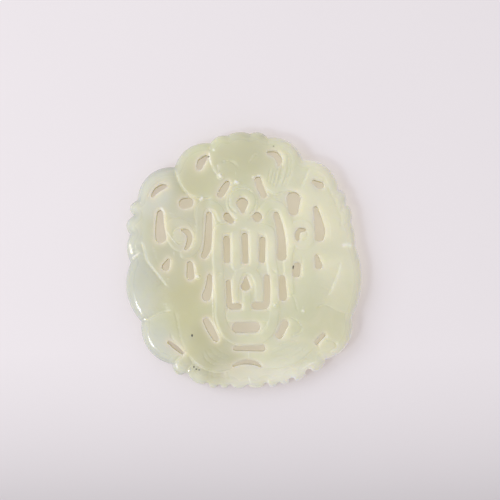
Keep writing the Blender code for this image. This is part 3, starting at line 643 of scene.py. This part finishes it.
def between(p, rings):
    """which points lie in the jade: inside the outline and in no opening"""
    inside = np.zeros(len(p), bool)
    for ring in rings:
        for (ax, ay), (bx, by) in zip(ring, np.roll(ring, -1, axis=0)):
            if ay != by:
                crossed = (p[:, 1] < ay) != (p[:, 1] < by)
                inside ^= crossed & (p[:, 0] < ax + (p[:, 1] - ay) * (bx - ax) / (by - ay))
    return inside


def triangulate(points, edge_rings, inner_rings):
    """plan triangles over the jade: its edge rings bound it, inner rings and loose points fill it"""
    rings = edge_rings + inner_rings
    coords = [Vector((float(x), float(y))) for ring in rings for x, y in ring]
    edges = []
    base = 0
    for ring in rings:
        n = len(ring)
        edges += [(base + k, base + (k + 1) % n) for k in range(n)]
        base += n
    coords += [Vector((float(x), float(y))) for x, y in points]
    verts, _, faces, _, _, _ = delaunay_2d_cdt(coords, edges, [], 0, 1e-7)
    xy = np.array([(v.x, v.y) for v in verts])
    tri = np.array([tuple(f) for f in faces])
    return xy, tri[between(xy[tri].mean(axis=1), edge_rings)]


def lattice(slab, spacing, seed):
    """triangular lattice over the sheet, each point nudged a little"""
    rows = []
    y, odd = slab.y[0], 0
    while y < slab.y[-1]:
        x = np.arange(slab.x[0] + odd * spacing / 2, slab.x[-1], spacing)
        rows.append(np.stack([x, np.full(len(x), y)], axis=1))
        y += spacing * math.sqrt(3) / 2
        odd = 1 - odd
    p = np.vstack(rows)
    rng = np.random.default_rng(seed)
    return p + rng.uniform(-0.08, 0.08, p.shape) * spacing


def carved(slab, field, low):
    """1 on carved ground, 0 on open ground: where the surface bends"""
    bend = np.abs(field[2:, 1:-1] + field[:-2, 1:-1] + field[1:-1, 2:] + field[1:-1, :-2] - 4 * field[1:-1, 1:-1])
    bend = np.pad(bend / CELL ** 2, 1)
    return brushed((bend > low).astype(float), 0.16) > 0.12


def carve():
    """the finished plaque as one closed mesh, in millimetres: points, triangles and three painted values"""
    slab = Slab()
    levels = (0.0, 0.06, 0.16, 0.30, 0.46)
    rings = {v: [even(r, RING_SPACING) for r in level_rings(slab, v)] for v in levels}
    edge = rings[0.0]
    inner = [r for v in levels[1:] for r in rings[v]]

    busy = carved(slab, slab.face, 0.35)
    wide = lattice(slab, OPEN, 3)
    fine = lattice(slab, FINE, 4)
    keep = levels[-1]
    near_edge = lambda p: slab.at(slab.inside, p)
    on_busy = lambda p: slab.at(busy.astype(float), p) > 0.5
    d = near_edge(fine)
    rounding = (slab.at(slab.to_outline, fine) < OUTER_ROUND[0] + 0.1) | (slab.at(slab.to_slot, fine) < SLOT_ROUND[0] + 0.15)
    fine = fine[(d > keep + 0.12) & (on_busy(fine) | rounding)]
    d = near_edge(wide)
    rounding = (slab.at(slab.to_outline, wide) < OUTER_ROUND[0] + 0.1) | (slab.at(slab.to_slot, wide) < SLOT_ROUND[0] + 0.15)
    wide = wide[(d > keep + 0.12) & ~(on_busy(wide) | rounding)]
    front_xy, front_tri = triangulate(np.vstack([fine, wide]), edge, inner)

    back_levels = (0.06, 0.20)
    back_inner = [even(r, RING_SPACING * 1.4) for v in back_levels for r in level_rings(slab, v)]
    busy_back = carved(slab, slab.back, 0.25)
    loose = lattice(slab, 1.6, 7)
    loose = loose[slab.at(slab.inside, loose) > 0.8]
    lines = lattice(slab, 0.24, 8)
    lines = lines[(slab.at(slab.inside, lines) > 0.60) & (slab.at(busy_back.astype(float), lines) > 0.5)]
    back_xy, back_tri = triangulate(np.vstack([lines, loose]), edge, back_inner)

    # heights
    n_edge = sum(len(r) for r in edge)
    front_z = slab.face_height(front_xy)
    base = 0
    for v in levels:
        for r in rings[v]:
            front_z[base:base + len(r)] = slab.face_height(front_xy[base:base + len(r)], v)
            base += len(r)
    back_d = np.maximum(slab.at(slab.inside, back_xy), 0)
    back_d[:n_edge] = 0
    a = np.clip(1 - back_d / BACK_EASE[0], 0, 1)
    back_z = BACK_EASE[1] * (1 - np.sqrt(1 - a * a)) + np.where(back_d > 0.3, slab.at(slab.back, back_xy), 0)

    # walls: rows between the front edge ring and the back edge ring
    rows = 3
    points = [np.column_stack([front_xy, front_z]), np.column_stack([back_xy, back_z])]
    n_front, n_back = len(front_xy), len(back_xy)
    tri = [front_tri, back_tri[:, ::-1] + n_front]
    base = 0
    extra = n_front + n_back
    for ring in edge:
        n = len(ring)
        top = np.arange(base, base + n)
        bottom = n_front + top
        rows_of = [top]
        for k in range(1, rows + 1):
            t = k / (rows + 1)
            z = front_z[top] * (1 - t) + back_z[base:base + n] * t
            points.append(np.column_stack([ring, z]))
            rows_of.append(np.arange(extra, extra + n))
            extra += n
        rows_of.append(bottom)
        for up, down in zip(rows_of[:-1], rows_of[1:]):
            up2, down2 = np.roll(up, -1), np.roll(down, -1)
            tri.append(np.column_stack([up, down, down2]))
            tri.append(np.column_stack([up, down2, up2]))
        base += n
    P = np.vstack(points)
    T = np.vstack(tri)

    # the winding must face outwards: a short step inwards from each wall decides
    a, b, c = P[T[:, 0]], P[T[:, 1]], P[T[:, 2]]
    wall = T[len(front_tri) + len(back_tri):]
    va, vb, vc = P[wall[:, 0]], P[wall[:, 1]], P[wall[:, 2]]
    nrm = np.cross(vb - va, vc - va)[:, :2]
    mid = (va + vb + vc)[:, :2] / 3
    step_in = slab.at(slab.inside, mid - 0.15 * nrm / (np.linalg.norm(nrm, axis=1)[:, None] + 1e-12))
    if (step_in > 0).mean() < 0.5:
        T[len(front_tri) + len(back_tri):] = wall[:, ::-1]

    # painted values: closeness to the slots and to the outline, and how sharply the face bends
    xy = P[:, :2]
    near_slot = np.maximum(slab.at(slab.to_slot, xy), 0)
    near_outline = np.maximum(slab.at(slab.to_outline, xy), 0)
    hollow = brushed(slab.face, 0.20) - slab.face
    line = np.clip(slab.at(hollow, xy) / 0.035, 0, 1)
    wall = np.zeros(len(P))
    wall[n_front:n_front + n_edge] = wall[n_front + n_back:] = 1
    wall[:n_edge] = 0.5
    wall[near_outline < 0.2] = 0
    bevel = ease(1 - near_outline / 2.6)
    # +1 beyond a slot's right and upper sides, -1 beyond its left and lower sides
    lean = brushed(slab.to_slot, 0.15)
    facing = (slab.at(np.gradient(lean, CELL, axis=1), xy) * 0.85 + slab.at(np.gradient(lean, CELL, axis=0), xy) * 0.5)
    # 1 on slot edges turned from the lamp, 0 on those turned to it: these carry the painted light and shade at the
    # slots
    turned_from_lamp = ease(0.5 - 0.5 * facing)
    sawn = np.exp(-(near_slot / 0.30) ** 2)
    # a pale lip a little way out from each slot, stronger on the side turned to the lamp: a painted highlight
    lip = np.exp(-((near_slot - 0.46) / 0.14) ** 2) * (0.35 + 0.65 * (1 - turned_from_lamp))
    lip[n_front:] = 0
    line[n_front:] = 0
    glint = slab.at(slab.glint, xy)
    glint[n_front:] = 0
    return P, T, {"glint": np.clip(glint, 0, 1), "sawn": sawn, 
                  "turned_from_lamp": sawn * turned_from_lamp, "turned_to_lamp": sawn * (1 - turned_from_lamp), "lip": lip,
                  "matt": np.exp(-(near_slot / 0.6) ** 2), "slot_glow": np.exp(-near_slot / 0.9),
                  "thin_edge": np.exp(-near_outline / 1.6), "line": line, "bevel": bevel, "wall": wall}


P, T, painted = carve()
mid = (P[:, :2].min(axis=0) + P[:, :2].max(axis=0)) / 2
P[:, :2] -= mid
P = np.clip(P * 0.001, np.array(CAD_LOW) + 1e-6, np.array(CAD_HIGH) - 1e-6)

mesh = bpy.data.meshes.new("jade_plaque_carved")
mesh.vertices.add(len(P))
mesh.vertices.foreach_set("co", P.astype(np.float32).ravel())
mesh.loops.add(len(T) * 3)
mesh.loops.foreach_set("vertex_index", T.astype(np.int32).ravel())
mesh.polygons.add(len(T))
mesh.polygons.foreach_set("loop_start", np.arange(0, len(T) * 3, 3, dtype=np.int32))
mesh.polygons.foreach_set("loop_total", np.full(len(T), 3, dtype=np.int32))
mesh.update(calc_edges=True)
mesh.validate()
mesh.shade_smooth()
for name, values in painted.items():
    layer = mesh.attributes.new(name, "FLOAT", "POINT")
    layer.data.foreach_set("value", values.astype(np.float32))
plaque = bpy.data.objects.new("plaque_carved", mesh)
bpy.context.collection.objects.link(plaque)
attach(plaque, "root")
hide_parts("jade_plaque")
print("triangles", len(T), "points", len(P))


# ------------------------------------------------------------------ material
def spot(x, y):
    """a place on the face, from sheet steps to metres"""
    p = to_mm([(x, y)])[0] - mid
    return (p[0] * 0.001, p[1] * 0.001)


class Nodes:
    """small helper to write a node tree as expressions"""

    def __init__(self, tree):
        self.tree = tree
        self.n = tree.nodes
        self.l = tree.links

    def put(self, socket, value):
        if isinstance(value, bpy.types.NodeSocket):
            self.l.new(value, socket)
        else:
            socket.default_value = value

    def add(self, kind, inputs=(), out=0, **props):
        node = self.n.new(kind)
        for k, v in props.items():
            setattr(node, k, v)
        for k, v in dict(inputs).items():
            self.put(node.inputs[k], v)
        return node.outputs[out]

    def math(self, op, a, b=0.0, clamp=False):
        return self.add("ShaderNodeMath", {0: a, 1: b}, operation=op, use_clamp=clamp)

    def ramp(self, value, low, high, to_low=0.0, to_high=1.0, smooth=True):
        return self.add("ShaderNodeMapRange", {0: value, 1: low, 2: high, 3: to_low, 4: to_high},
                        interpolation_type="SMOOTHSTEP" if smooth else "LINEAR")

    def mix(self, factor, a, b, blend="MIX"):
        node = self.n.new("ShaderNodeMix")
        node.data_type = "RGBA"
        node.blend_type = blend
        self.put(node.inputs[0], factor)
        self.put(node.inputs[6], a)
        self.put(node.inputs[7], b)
        return node.outputs[2]

    def noise(self, where, scale, detail=3.0, rough=0.5, distort=0.0):
        return self.add("ShaderNodeTexNoise",
                        {"Vector": where, "Scale": scale, "Detail": detail, "Roughness": rough,
                         "Distortion": distort})


def jade():
    m = bpy.data.materials.new("jade_polished")
    m.use_nodes = True
    t = Nodes(m.node_tree)
    shader = t.n["Principled BSDF"]
    where = t.add("ShaderNodeTexCoord", out=3)

    def patch(x, y, rx, ry, soft=0.35, wobble=None):
        """a soft oval patch round a place on the sheet: 1 in the middle, 0 outside"""
        px, py = spot(x, y)
        away = t.add("ShaderNodeVectorMath", {0: where, 1: (px, py, 0.0)}, operation="SUBTRACT")
        shape = t.add("ShaderNodeVectorMath", {0: away, 1: (1 / (rx * STEP * 0.001), 1 / (ry * STEP * 0.001), 0.0)},
                      operation="MULTIPLY")
        far = t.add("ShaderNodeVectorMath", {0: shape}, operation="LENGTH", out=1)
        if wobble is not None:
            far = t.math("ADD", far, wobble)
        return t.ramp(far, 1.0 + soft, 1.0 - soft)

    cloud = t.noise(where, 95.0, 4.0, 0.55, 0.6)
    cloud_small = t.noise(where, 420.0, 3.0, 0.6, 0.4)
    wobble = t.ramp(cloud, 0.3, 0.7, -0.35, 0.35, smooth=False)

    pale = (0.720, 0.715, 0.555, 1)
    deep = (0.655, 0.660, 0.478, 1)
    olive = (0.610, 0.585, 0.340, 1)
    cream = (0.825, 0.810, 0.660, 1)
    ash_and_sheen = (0.690, 0.700, 0.640, 1)
    painted_shade_dim = (0.570, 0.552, 0.408, 1)
    painted_glow_milk = (0.800, 0.780, 0.615, 1)
    rim_shade_smoke = (0.440, 0.455, 0.435, 1)
    rose = (0.930, 0.890, 0.775, 1)
    blush = (0.745, 0.668, 0.522, 1)
    colour = t.mix(t.ramp(cloud, 0.38, 0.68), pale, deep)

    def most(values):
        top = values[0]
        for v in values[1:]:
            top = t.math("MAXIMUM", top, v)
        return top

    yellow = most([
        t.math("MULTIPLY", patch(400, 1020, 130, 230, 0.7, wobble), 0.70),
        t.math("MULTIPLY", patch(655, 225, 150, 95, 0.7, wobble), 0.42),
        t.math("MULTIPLY", patch(520, 1200, 150, 60, 0.7, wobble), 0.50),
        t.math("MULTIPLY", patch(420, 320, 150, 90, 0.7, wobble), 0.45),
        t.math("MULTIPLY", patch(1080, 1000, 150, 160, 0.7, wobble), 0.30),
    ])
    # painted shade: darker over the left side, the lower left and, faintly, the middle
    painted_shade_patches = most([
        patch(310, 560, 190, 430, 0.6, wobble), patch(530, 1170, 130, 130, 0.6, wobble),
        t.math("MULTIPLY", patch(600, 600, 160, 420, 0.6, wobble), 0.4),
    ])
    # painted glow: the right side lighter, where the lamp's light comes back out of the stone
    painted_glow_right = patch(1230, 560, 330, 560, 0.7, wobble)
    colour = t.mix(t.math("MULTIPLY", painted_shade_patches, 0.70), colour, painted_shade_dim)
    colour = t.mix(t.math("MULTIPLY", painted_glow_right, 0.80), colour, painted_glow_milk)
    colour = t.mix(yellow, colour, olive)
    wall = t.add("ShaderNodeAttribute", attribute_name="wall", out=2)
    slot_glow = t.add("ShaderNodeAttribute", attribute_name="slot_glow", out=2)
    thin_edge = t.add("ShaderNodeAttribute", attribute_name="thin_edge", out=2)
    line = t.add("ShaderNodeAttribute", attribute_name="line", out=2)
    # greyer, cooler tone over the left side and the bottom: partly the stone's tone, partly a painted reflection of
    # cool light
    left = most([patch(60, 780, 140, 500, 0.6, wobble), patch(180, 330, 150, 170, 0.7, wobble),
                 patch(620, 1400, 560, 170, 0.6, wobble), patch(230, 1150, 130, 140, 0.6, wobble)])
    across = t.add("ShaderNodeSeparateXYZ", {0: where})
    upward = t.add("ShaderNodeSeparateXYZ", {0: where}, out=2)
    raised = t.ramp(upward, 0.0002, 0.0037, 0.08, 1.0)
    near_rim = t.math("MULTIPLY", t.ramp(thin_edge, 0.15, 1.0), raised)
    # painted shade on the rim of the left side, which faces the lamp, and painted glow on the rim of the right side,
    # where light comes through
    rim_left_shade = t.math("MULTIPLY", near_rim, t.ramp(across, -0.004, -0.020))
    rim_right_glow = t.math("MULTIPLY", near_rim, t.ramp(across, 0.002, 0.016))
    colour = t.mix(t.math("MULTIPLY", left, 0.65), colour, ash_and_sheen)
    colour = t.mix(t.math("MULTIPLY", rim_left_shade, 0.75), colour, rim_shade_smoke)
    colour = t.mix(t.math("MULTIPLY", rim_right_glow, 0.85), colour, (0.905, 0.870, 0.770, 1))
    shade = most([
        t.math("MULTIPLY", patch(560, 1235, 110, 75, 0.7, wobble), 0.85),
        t.math("MULTIPLY", patch(500, 1090, 70, 130, 0.7, wobble), 0.60),
        t.math("MULTIPLY", patch(640, 160, 150, 100, 0.6, wobble), 0.34),
    ])
    # greyer, bluer places on the left lobes, a painted reflection of cool light, and a little greyer on the crown's top
    grey_and_sheen = most([
        t.math("MULTIPLY", patch(110, 770, 90, 180, 0.7, wobble), 0.42),
        t.math("MULTIPLY", patch(220, 1100, 120, 120, 0.7, wobble), 0.24),
        t.math("MULTIPLY", patch(600, 60, 150, 40, 0.7, wobble), 0.15),
    ])
    # lighter places: painted glow along the lower right hem, where light comes out of the stone, and lighter round the
    # ring and the left scroll
    lighter_and_glow = most([
        t.math("MULTIPLY", patch(900, 1240, 200, 130, 0.7, wobble), 0.48),
        t.math("MULTIPLY", patch(725, 540, 115, 190, 0.7, wobble), 0.38),
        t.math("MULTIPLY", patch(350, 550, 60, 80, 0.7, wobble), 0.32),
    ])
    colour = t.mix(shade, colour, (0.545, 0.530, 0.350, 1))
    colour = t.mix(grey_and_sheen, colour, (0.455, 0.470, 0.420, 1))
    colour = t.mix(lighter_and_glow, colour, (0.790, 0.775, 0.630, 1))
    # painted glow: the lower right rim paler
    colour = t.mix(t.math("MULTIPLY", patch(930, 1295, 150, 75, 0.7, wobble), 0.50), colour, (0.880, 0.865, 0.775, 1))
    edge_light = t.math("MULTIPLY", t.math("MULTIPLY", t.ramp(thin_edge, 0.78, 0.98), raised),
                        t.ramp(across, 0.002, 0.016))
    colour = t.mix(t.math("MULTIPLY", edge_light, 0.8), colour, (0.975, 0.950, 0.890, 1))
    # painted glow: pinkish and lighter on the thin middle of the hem
    colour = t.mix(t.math("MULTIPLY", patch(690, 1275, 130, 60, 0.6, wobble), 0.42), colour, (0.820, 0.775, 0.660, 1))
    glow = t.math("MULTIPLY", t.ramp(slot_glow, 0.08, 0.90), t.ramp(across, 0.004, -0.009, 0.40, 0.66))
    colour = t.mix(glow, colour, blush)
    turned_from_lamp = t.add("ShaderNodeAttribute", attribute_name="turned_from_lamp", out=2)
    turned_to_lamp = t.add("ShaderNodeAttribute", attribute_name="turned_to_lamp", out=2)
    lip = t.add("ShaderNodeAttribute", attribute_name="lip", out=2)
    matt = t.add("ShaderNodeAttribute", attribute_name="matt", out=2)
    # painted light and shade at the slots: edges and walls turned from the lamp painted paler, those turned to it
    # painted darker
    colour = t.mix(t.math("MULTIPLY", turned_from_lamp, 0.50), colour, rose)
    colour = t.mix(t.math("MULTIPLY", turned_to_lamp, 0.80), colour, (0.600, 0.560, 0.430, 1))
    # painted highlight: the pale lip round the slots
    colour = t.mix(t.math("MULTIPLY", lip, 0.16), colour, cream)
    colour = t.mix(t.math("MULTIPLY", t.math("MULTIPLY", wall, turned_from_lamp), 0.85), colour, (0.93, 0.895, 0.80, 1))
    colour = t.mix(t.math("MULTIPLY", t.math("MULTIPLY", wall, turned_to_lamp), 0.80), colour, (0.66, 0.615, 0.49, 1))
    # painted light: the hollows of the cut lines and the feet of the strands paler
    colour = t.mix(t.math("MULTIPLY", t.ramp(line, 0.15, 0.9), 0.48), colour, cream)
    glint = t.add("ShaderNodeAttribute", attribute_name="glint", out=2)
    # painted highlights: the glint strokes mixed towards near-white
    colour = t.mix(t.ramp(glint, 0.05, 0.95, 0.0, 0.95), colour, (0.960, 0.950, 0.880, 1))
    veins = t.ramp(t.noise(where, 210.0, 5.0, 0.6, 1.6), 0.60, 0.72)
    colour = t.mix(t.math("MULTIPLY", veins, 0.06), colour, (0.80, 0.80, 0.64, 1))

    specks = most([
        patch(415, 1077, 5, 8, 0.25, t.ramp(cloud_small, 0.3, 0.7, -0.3, 0.3, smooth=False)),
        patch(424, 1234, 3.5, 4.5, 0.3), patch(436, 1245, 4.5, 3, 0.3), patch(450, 1249, 4.5, 2.5, 0.3),
        patch(919, 739, 4, 10, 0.3), t.math("MULTIPLY", patch(498, 186, 4, 4, 0.4), 0.8), t.math("MULTIPLY", patch(821, 134, 4, 4, 0.4), 0.5),
    ])
    specks = t.math("MULTIPLY", specks, t.ramp(upward, 0.0034, 0.0040))
    colour = t.mix(t.math("MULTIPLY", specks, 0.93), colour, (0.020, 0.018, 0.014, 1))
    rust = patch(586, 488, 12, 18, 0.6)
    colour = t.mix(t.math("MULTIPLY", rust, 0.7), colour, (0.45, 0.27, 0.08, 1))
    t.put(shader.inputs["Base Color"], colour)

    # polished faces, a little duller where the saw left the openings
    polished = t.ramp(t.noise(where, 110.0, 2.0, 0.4), 0.3, 0.7, 0.13, 0.17)
    handled = t.math("MULTIPLY", t.ramp(thin_edge, 0.42, 0.16), 0.26)
    notch = t.math("MULTIPLY", patch(326, 1210, 26, 26, 0.4), 0.35)
    rough = t.math("ADD", t.math("ADD", polished, handled), t.math("ADD", t.math("MULTIPLY", matt, 0.20), notch))
    t.put(shader.inputs["Roughness"], t.math("ADD", rough, t.math("MULTIPLY", wall, 0.35), clamp=True))
    t.put(shader.inputs["Specular IOR Level"], t.ramp(t.math("MAXIMUM", wall, matt), 0.0, 1.0, 0.5, 0.12, smooth=False))
    shader.inputs["IOR"].default_value = 1.60
    shader.inputs["Subsurface Weight"].default_value = 1.0
    shader.inputs["Subsurface Radius"].default_value = (1.0, 0.92, 0.60)
    shader.inputs["Subsurface Scale"].default_value = 0.004

    grain = t.noise(where, 1500.0, 4.0, 0.55)
    polish = t.noise(where, 260.0, 2.0, 0.4)
    height = t.math("ADD", t.math("MULTIPLY", grain, 0.25), t.math("MULTIPLY", polish, 1.0))
    bump = t.add("ShaderNodeBump", {"Strength": 0.12, "Distance": 0.0002, "Height": height})
    t.put(shader.inputs["Normal"], bump)

    # light shines through the stone, tinted, on to what lies under it; the rounded rim bends it away
    through = t.n.new("ShaderNodeBsdfTransparent")
    bevel = t.add("ShaderNodeAttribute", attribute_name="bevel", out=2)
    lengthways = t.add("ShaderNodeSeparateXYZ", {0: where}, out=1)
    higher = t.ramp(lengthways, -0.016, 0.008)
    foot = t.mix(higher, (0.78, 0.735, 0.715, 1), (1.0, 0.985, 0.975, 1))
    crest = t.mix(higher, (0.62, 0.575, 0.585, 1), (0.79, 0.745, 0.750, 1))
    rim_tint = t.mix(t.ramp(upward, 0.0003, 0.0028), foot, crest)
    sawn_tint = t.mix(t.math("MULTIPLY", wall, t.ramp(across, -0.006, 0.003, 0.35, 1.0)),
                      (0.879, 0.868, 0.762, 1), (0.918, 0.908, 0.812, 1))
    t.put(through.inputs["Color"], t.mix(t.math("MULTIPLY", bevel, 0.9), sawn_tint, rim_tint))
    path = t.n.new("ShaderNodeLightPath")
    part = t.n.new("ShaderNodeMixShader")
    part.inputs[0].default_value = 0.62
    t.l.new(shader.outputs[0], part.inputs[1])
    t.l.new(through.outputs[0], part.inputs[2])
    scattered = t.n.new("ShaderNodeMixShader")
    t.l.new(path.outputs["Is Diffuse Ray"], scattered.inputs[0])
    t.l.new(shader.outputs[0], scattered.inputs[1])
    t.l.new(part.outputs[0], scattered.inputs[2])
    direct = t.n.new("ShaderNodeMixShader")
    t.l.new(path.outputs["Is Shadow Ray"], direct.inputs[0])
    t.l.new(scattered.outputs[0], direct.inputs[1])
    t.l.new(through.outputs[0], direct.inputs[2])
    t.l.new(direct.outputs[0], t.n["Material Output"].inputs["Surface"])
    return m


plaque.data.materials.append(jade())


# ------------------------------------------------------- floor, light, camera
low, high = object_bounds()
ground = bpy.data.meshes.new("floor")
bm = bmesh.new()
bmesh.ops.create_circle(bm, cap_ends=True, radius=4.0, segments=96)
for v in bm.verts:
    v.co.z = low.z - 0.00002
bm.to_mesh(ground)
bm.free()
floor = bpy.data.objects.new("floor", ground)
bpy.context.collection.objects.link(floor)
fm = bpy.data.materials.new("floor_paper")
fm.use_nodes = True
ft = Nodes(fm.node_tree)
fs = ft.n["Principled BSDF"]
fw = ft.add("ShaderNodeTexCoord", out=3)
paper = ft.mix(ft.noise(fw, 40.0, 2.0), (0.842, 0.792, 0.806, 1), (0.852, 0.802, 0.816, 1))
# painted shade: the floor darkens towards -y
nearer = ft.ramp(ft.add("ShaderNodeSeparateXYZ", {0: fw}, out=1), -0.022, -0.056, smooth=False)
falloff = ft.math("ADD", ft.math("MULTIPLY", nearer, 0.14), ft.math("MULTIPLY", ft.math("POWER", nearer, 3.0), 0.11))
ft.put(fs.inputs["Base Color"], ft.mix(falloff, paper, (0.02, 0.02, 0.02, 1)))
fs.inputs["Roughness"].default_value = 0.75
fs.inputs["Specular IOR Level"].default_value = 0.2
ground.materials.append(fm)
floor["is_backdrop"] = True


def lamp(name, place, size, power, colour, aim=(0, 0, 0)):
    data = bpy.data.lights.new(name, "AREA")
    data.shape = "RECTANGLE"
    data.size, data.size_y = size
    data.energy = power
    data.color = colour
    obj = bpy.data.objects.new(name, data)
    obj.location = place
    obj.rotation_euler = (Vector(aim) - Vector(place)).to_track_quat("-Z", "Y").to_euler()
    bpy.context.collection.objects.link(obj)
    return obj


def towards(azimuth, elevation, far):
    a, e = math.radians(azimuth), math.radians(elevation)
    return (far * math.cos(e) * math.cos(a), far * math.cos(e) * math.sin(a), far * math.sin(e))


window = lamp("softbox", towards(172, 38, 1.5), (1.20, 0.95), 11.55, (0.97, 0.98, 1.0))
window.visible_glossy = False
lamp("spark", towards(209, 52, 1.5), (0.28, 0.28), 5.2, (0.97, 0.98, 1.0))

world = bpy.data.worlds.new("studio")
world.use_nodes = True
wt = Nodes(world.node_tree)
wt.n["Background"].inputs[0].default_value = (0.98, 0.97, 1.0, 1)
wt.n["Background"].inputs[1].default_value = 0.545
bpy.context.scene.world = world
bpy.context.scene.view_settings.view_transform = "Standard"

cam = bpy.data.cameras.new("camera")
cam.sensor_width = 36.0
cam.lens = 150.0
view = bpy.data.objects.new("camera", cam)
bpy.context.collection.objects.link(view)
WIDTH_SEEN = 0.1172           # m across the picture at the plaque
distance = WIDTH_SEEN * cam.lens / cam.sensor_width
look = Vector((0.00141, 0.00234, 0.003))
view.location = look + Vector((0.0, -math.sin(math.radians(1.0)), math.cos(math.radians(1.0)))) * distance
view.rotation_euler = (look - view.location).to_track_quat("-Z", "Y").to_euler()
cam.clip_start = 0.01
cam.clip_end = 20.0
bpy.context.scene.camera = view
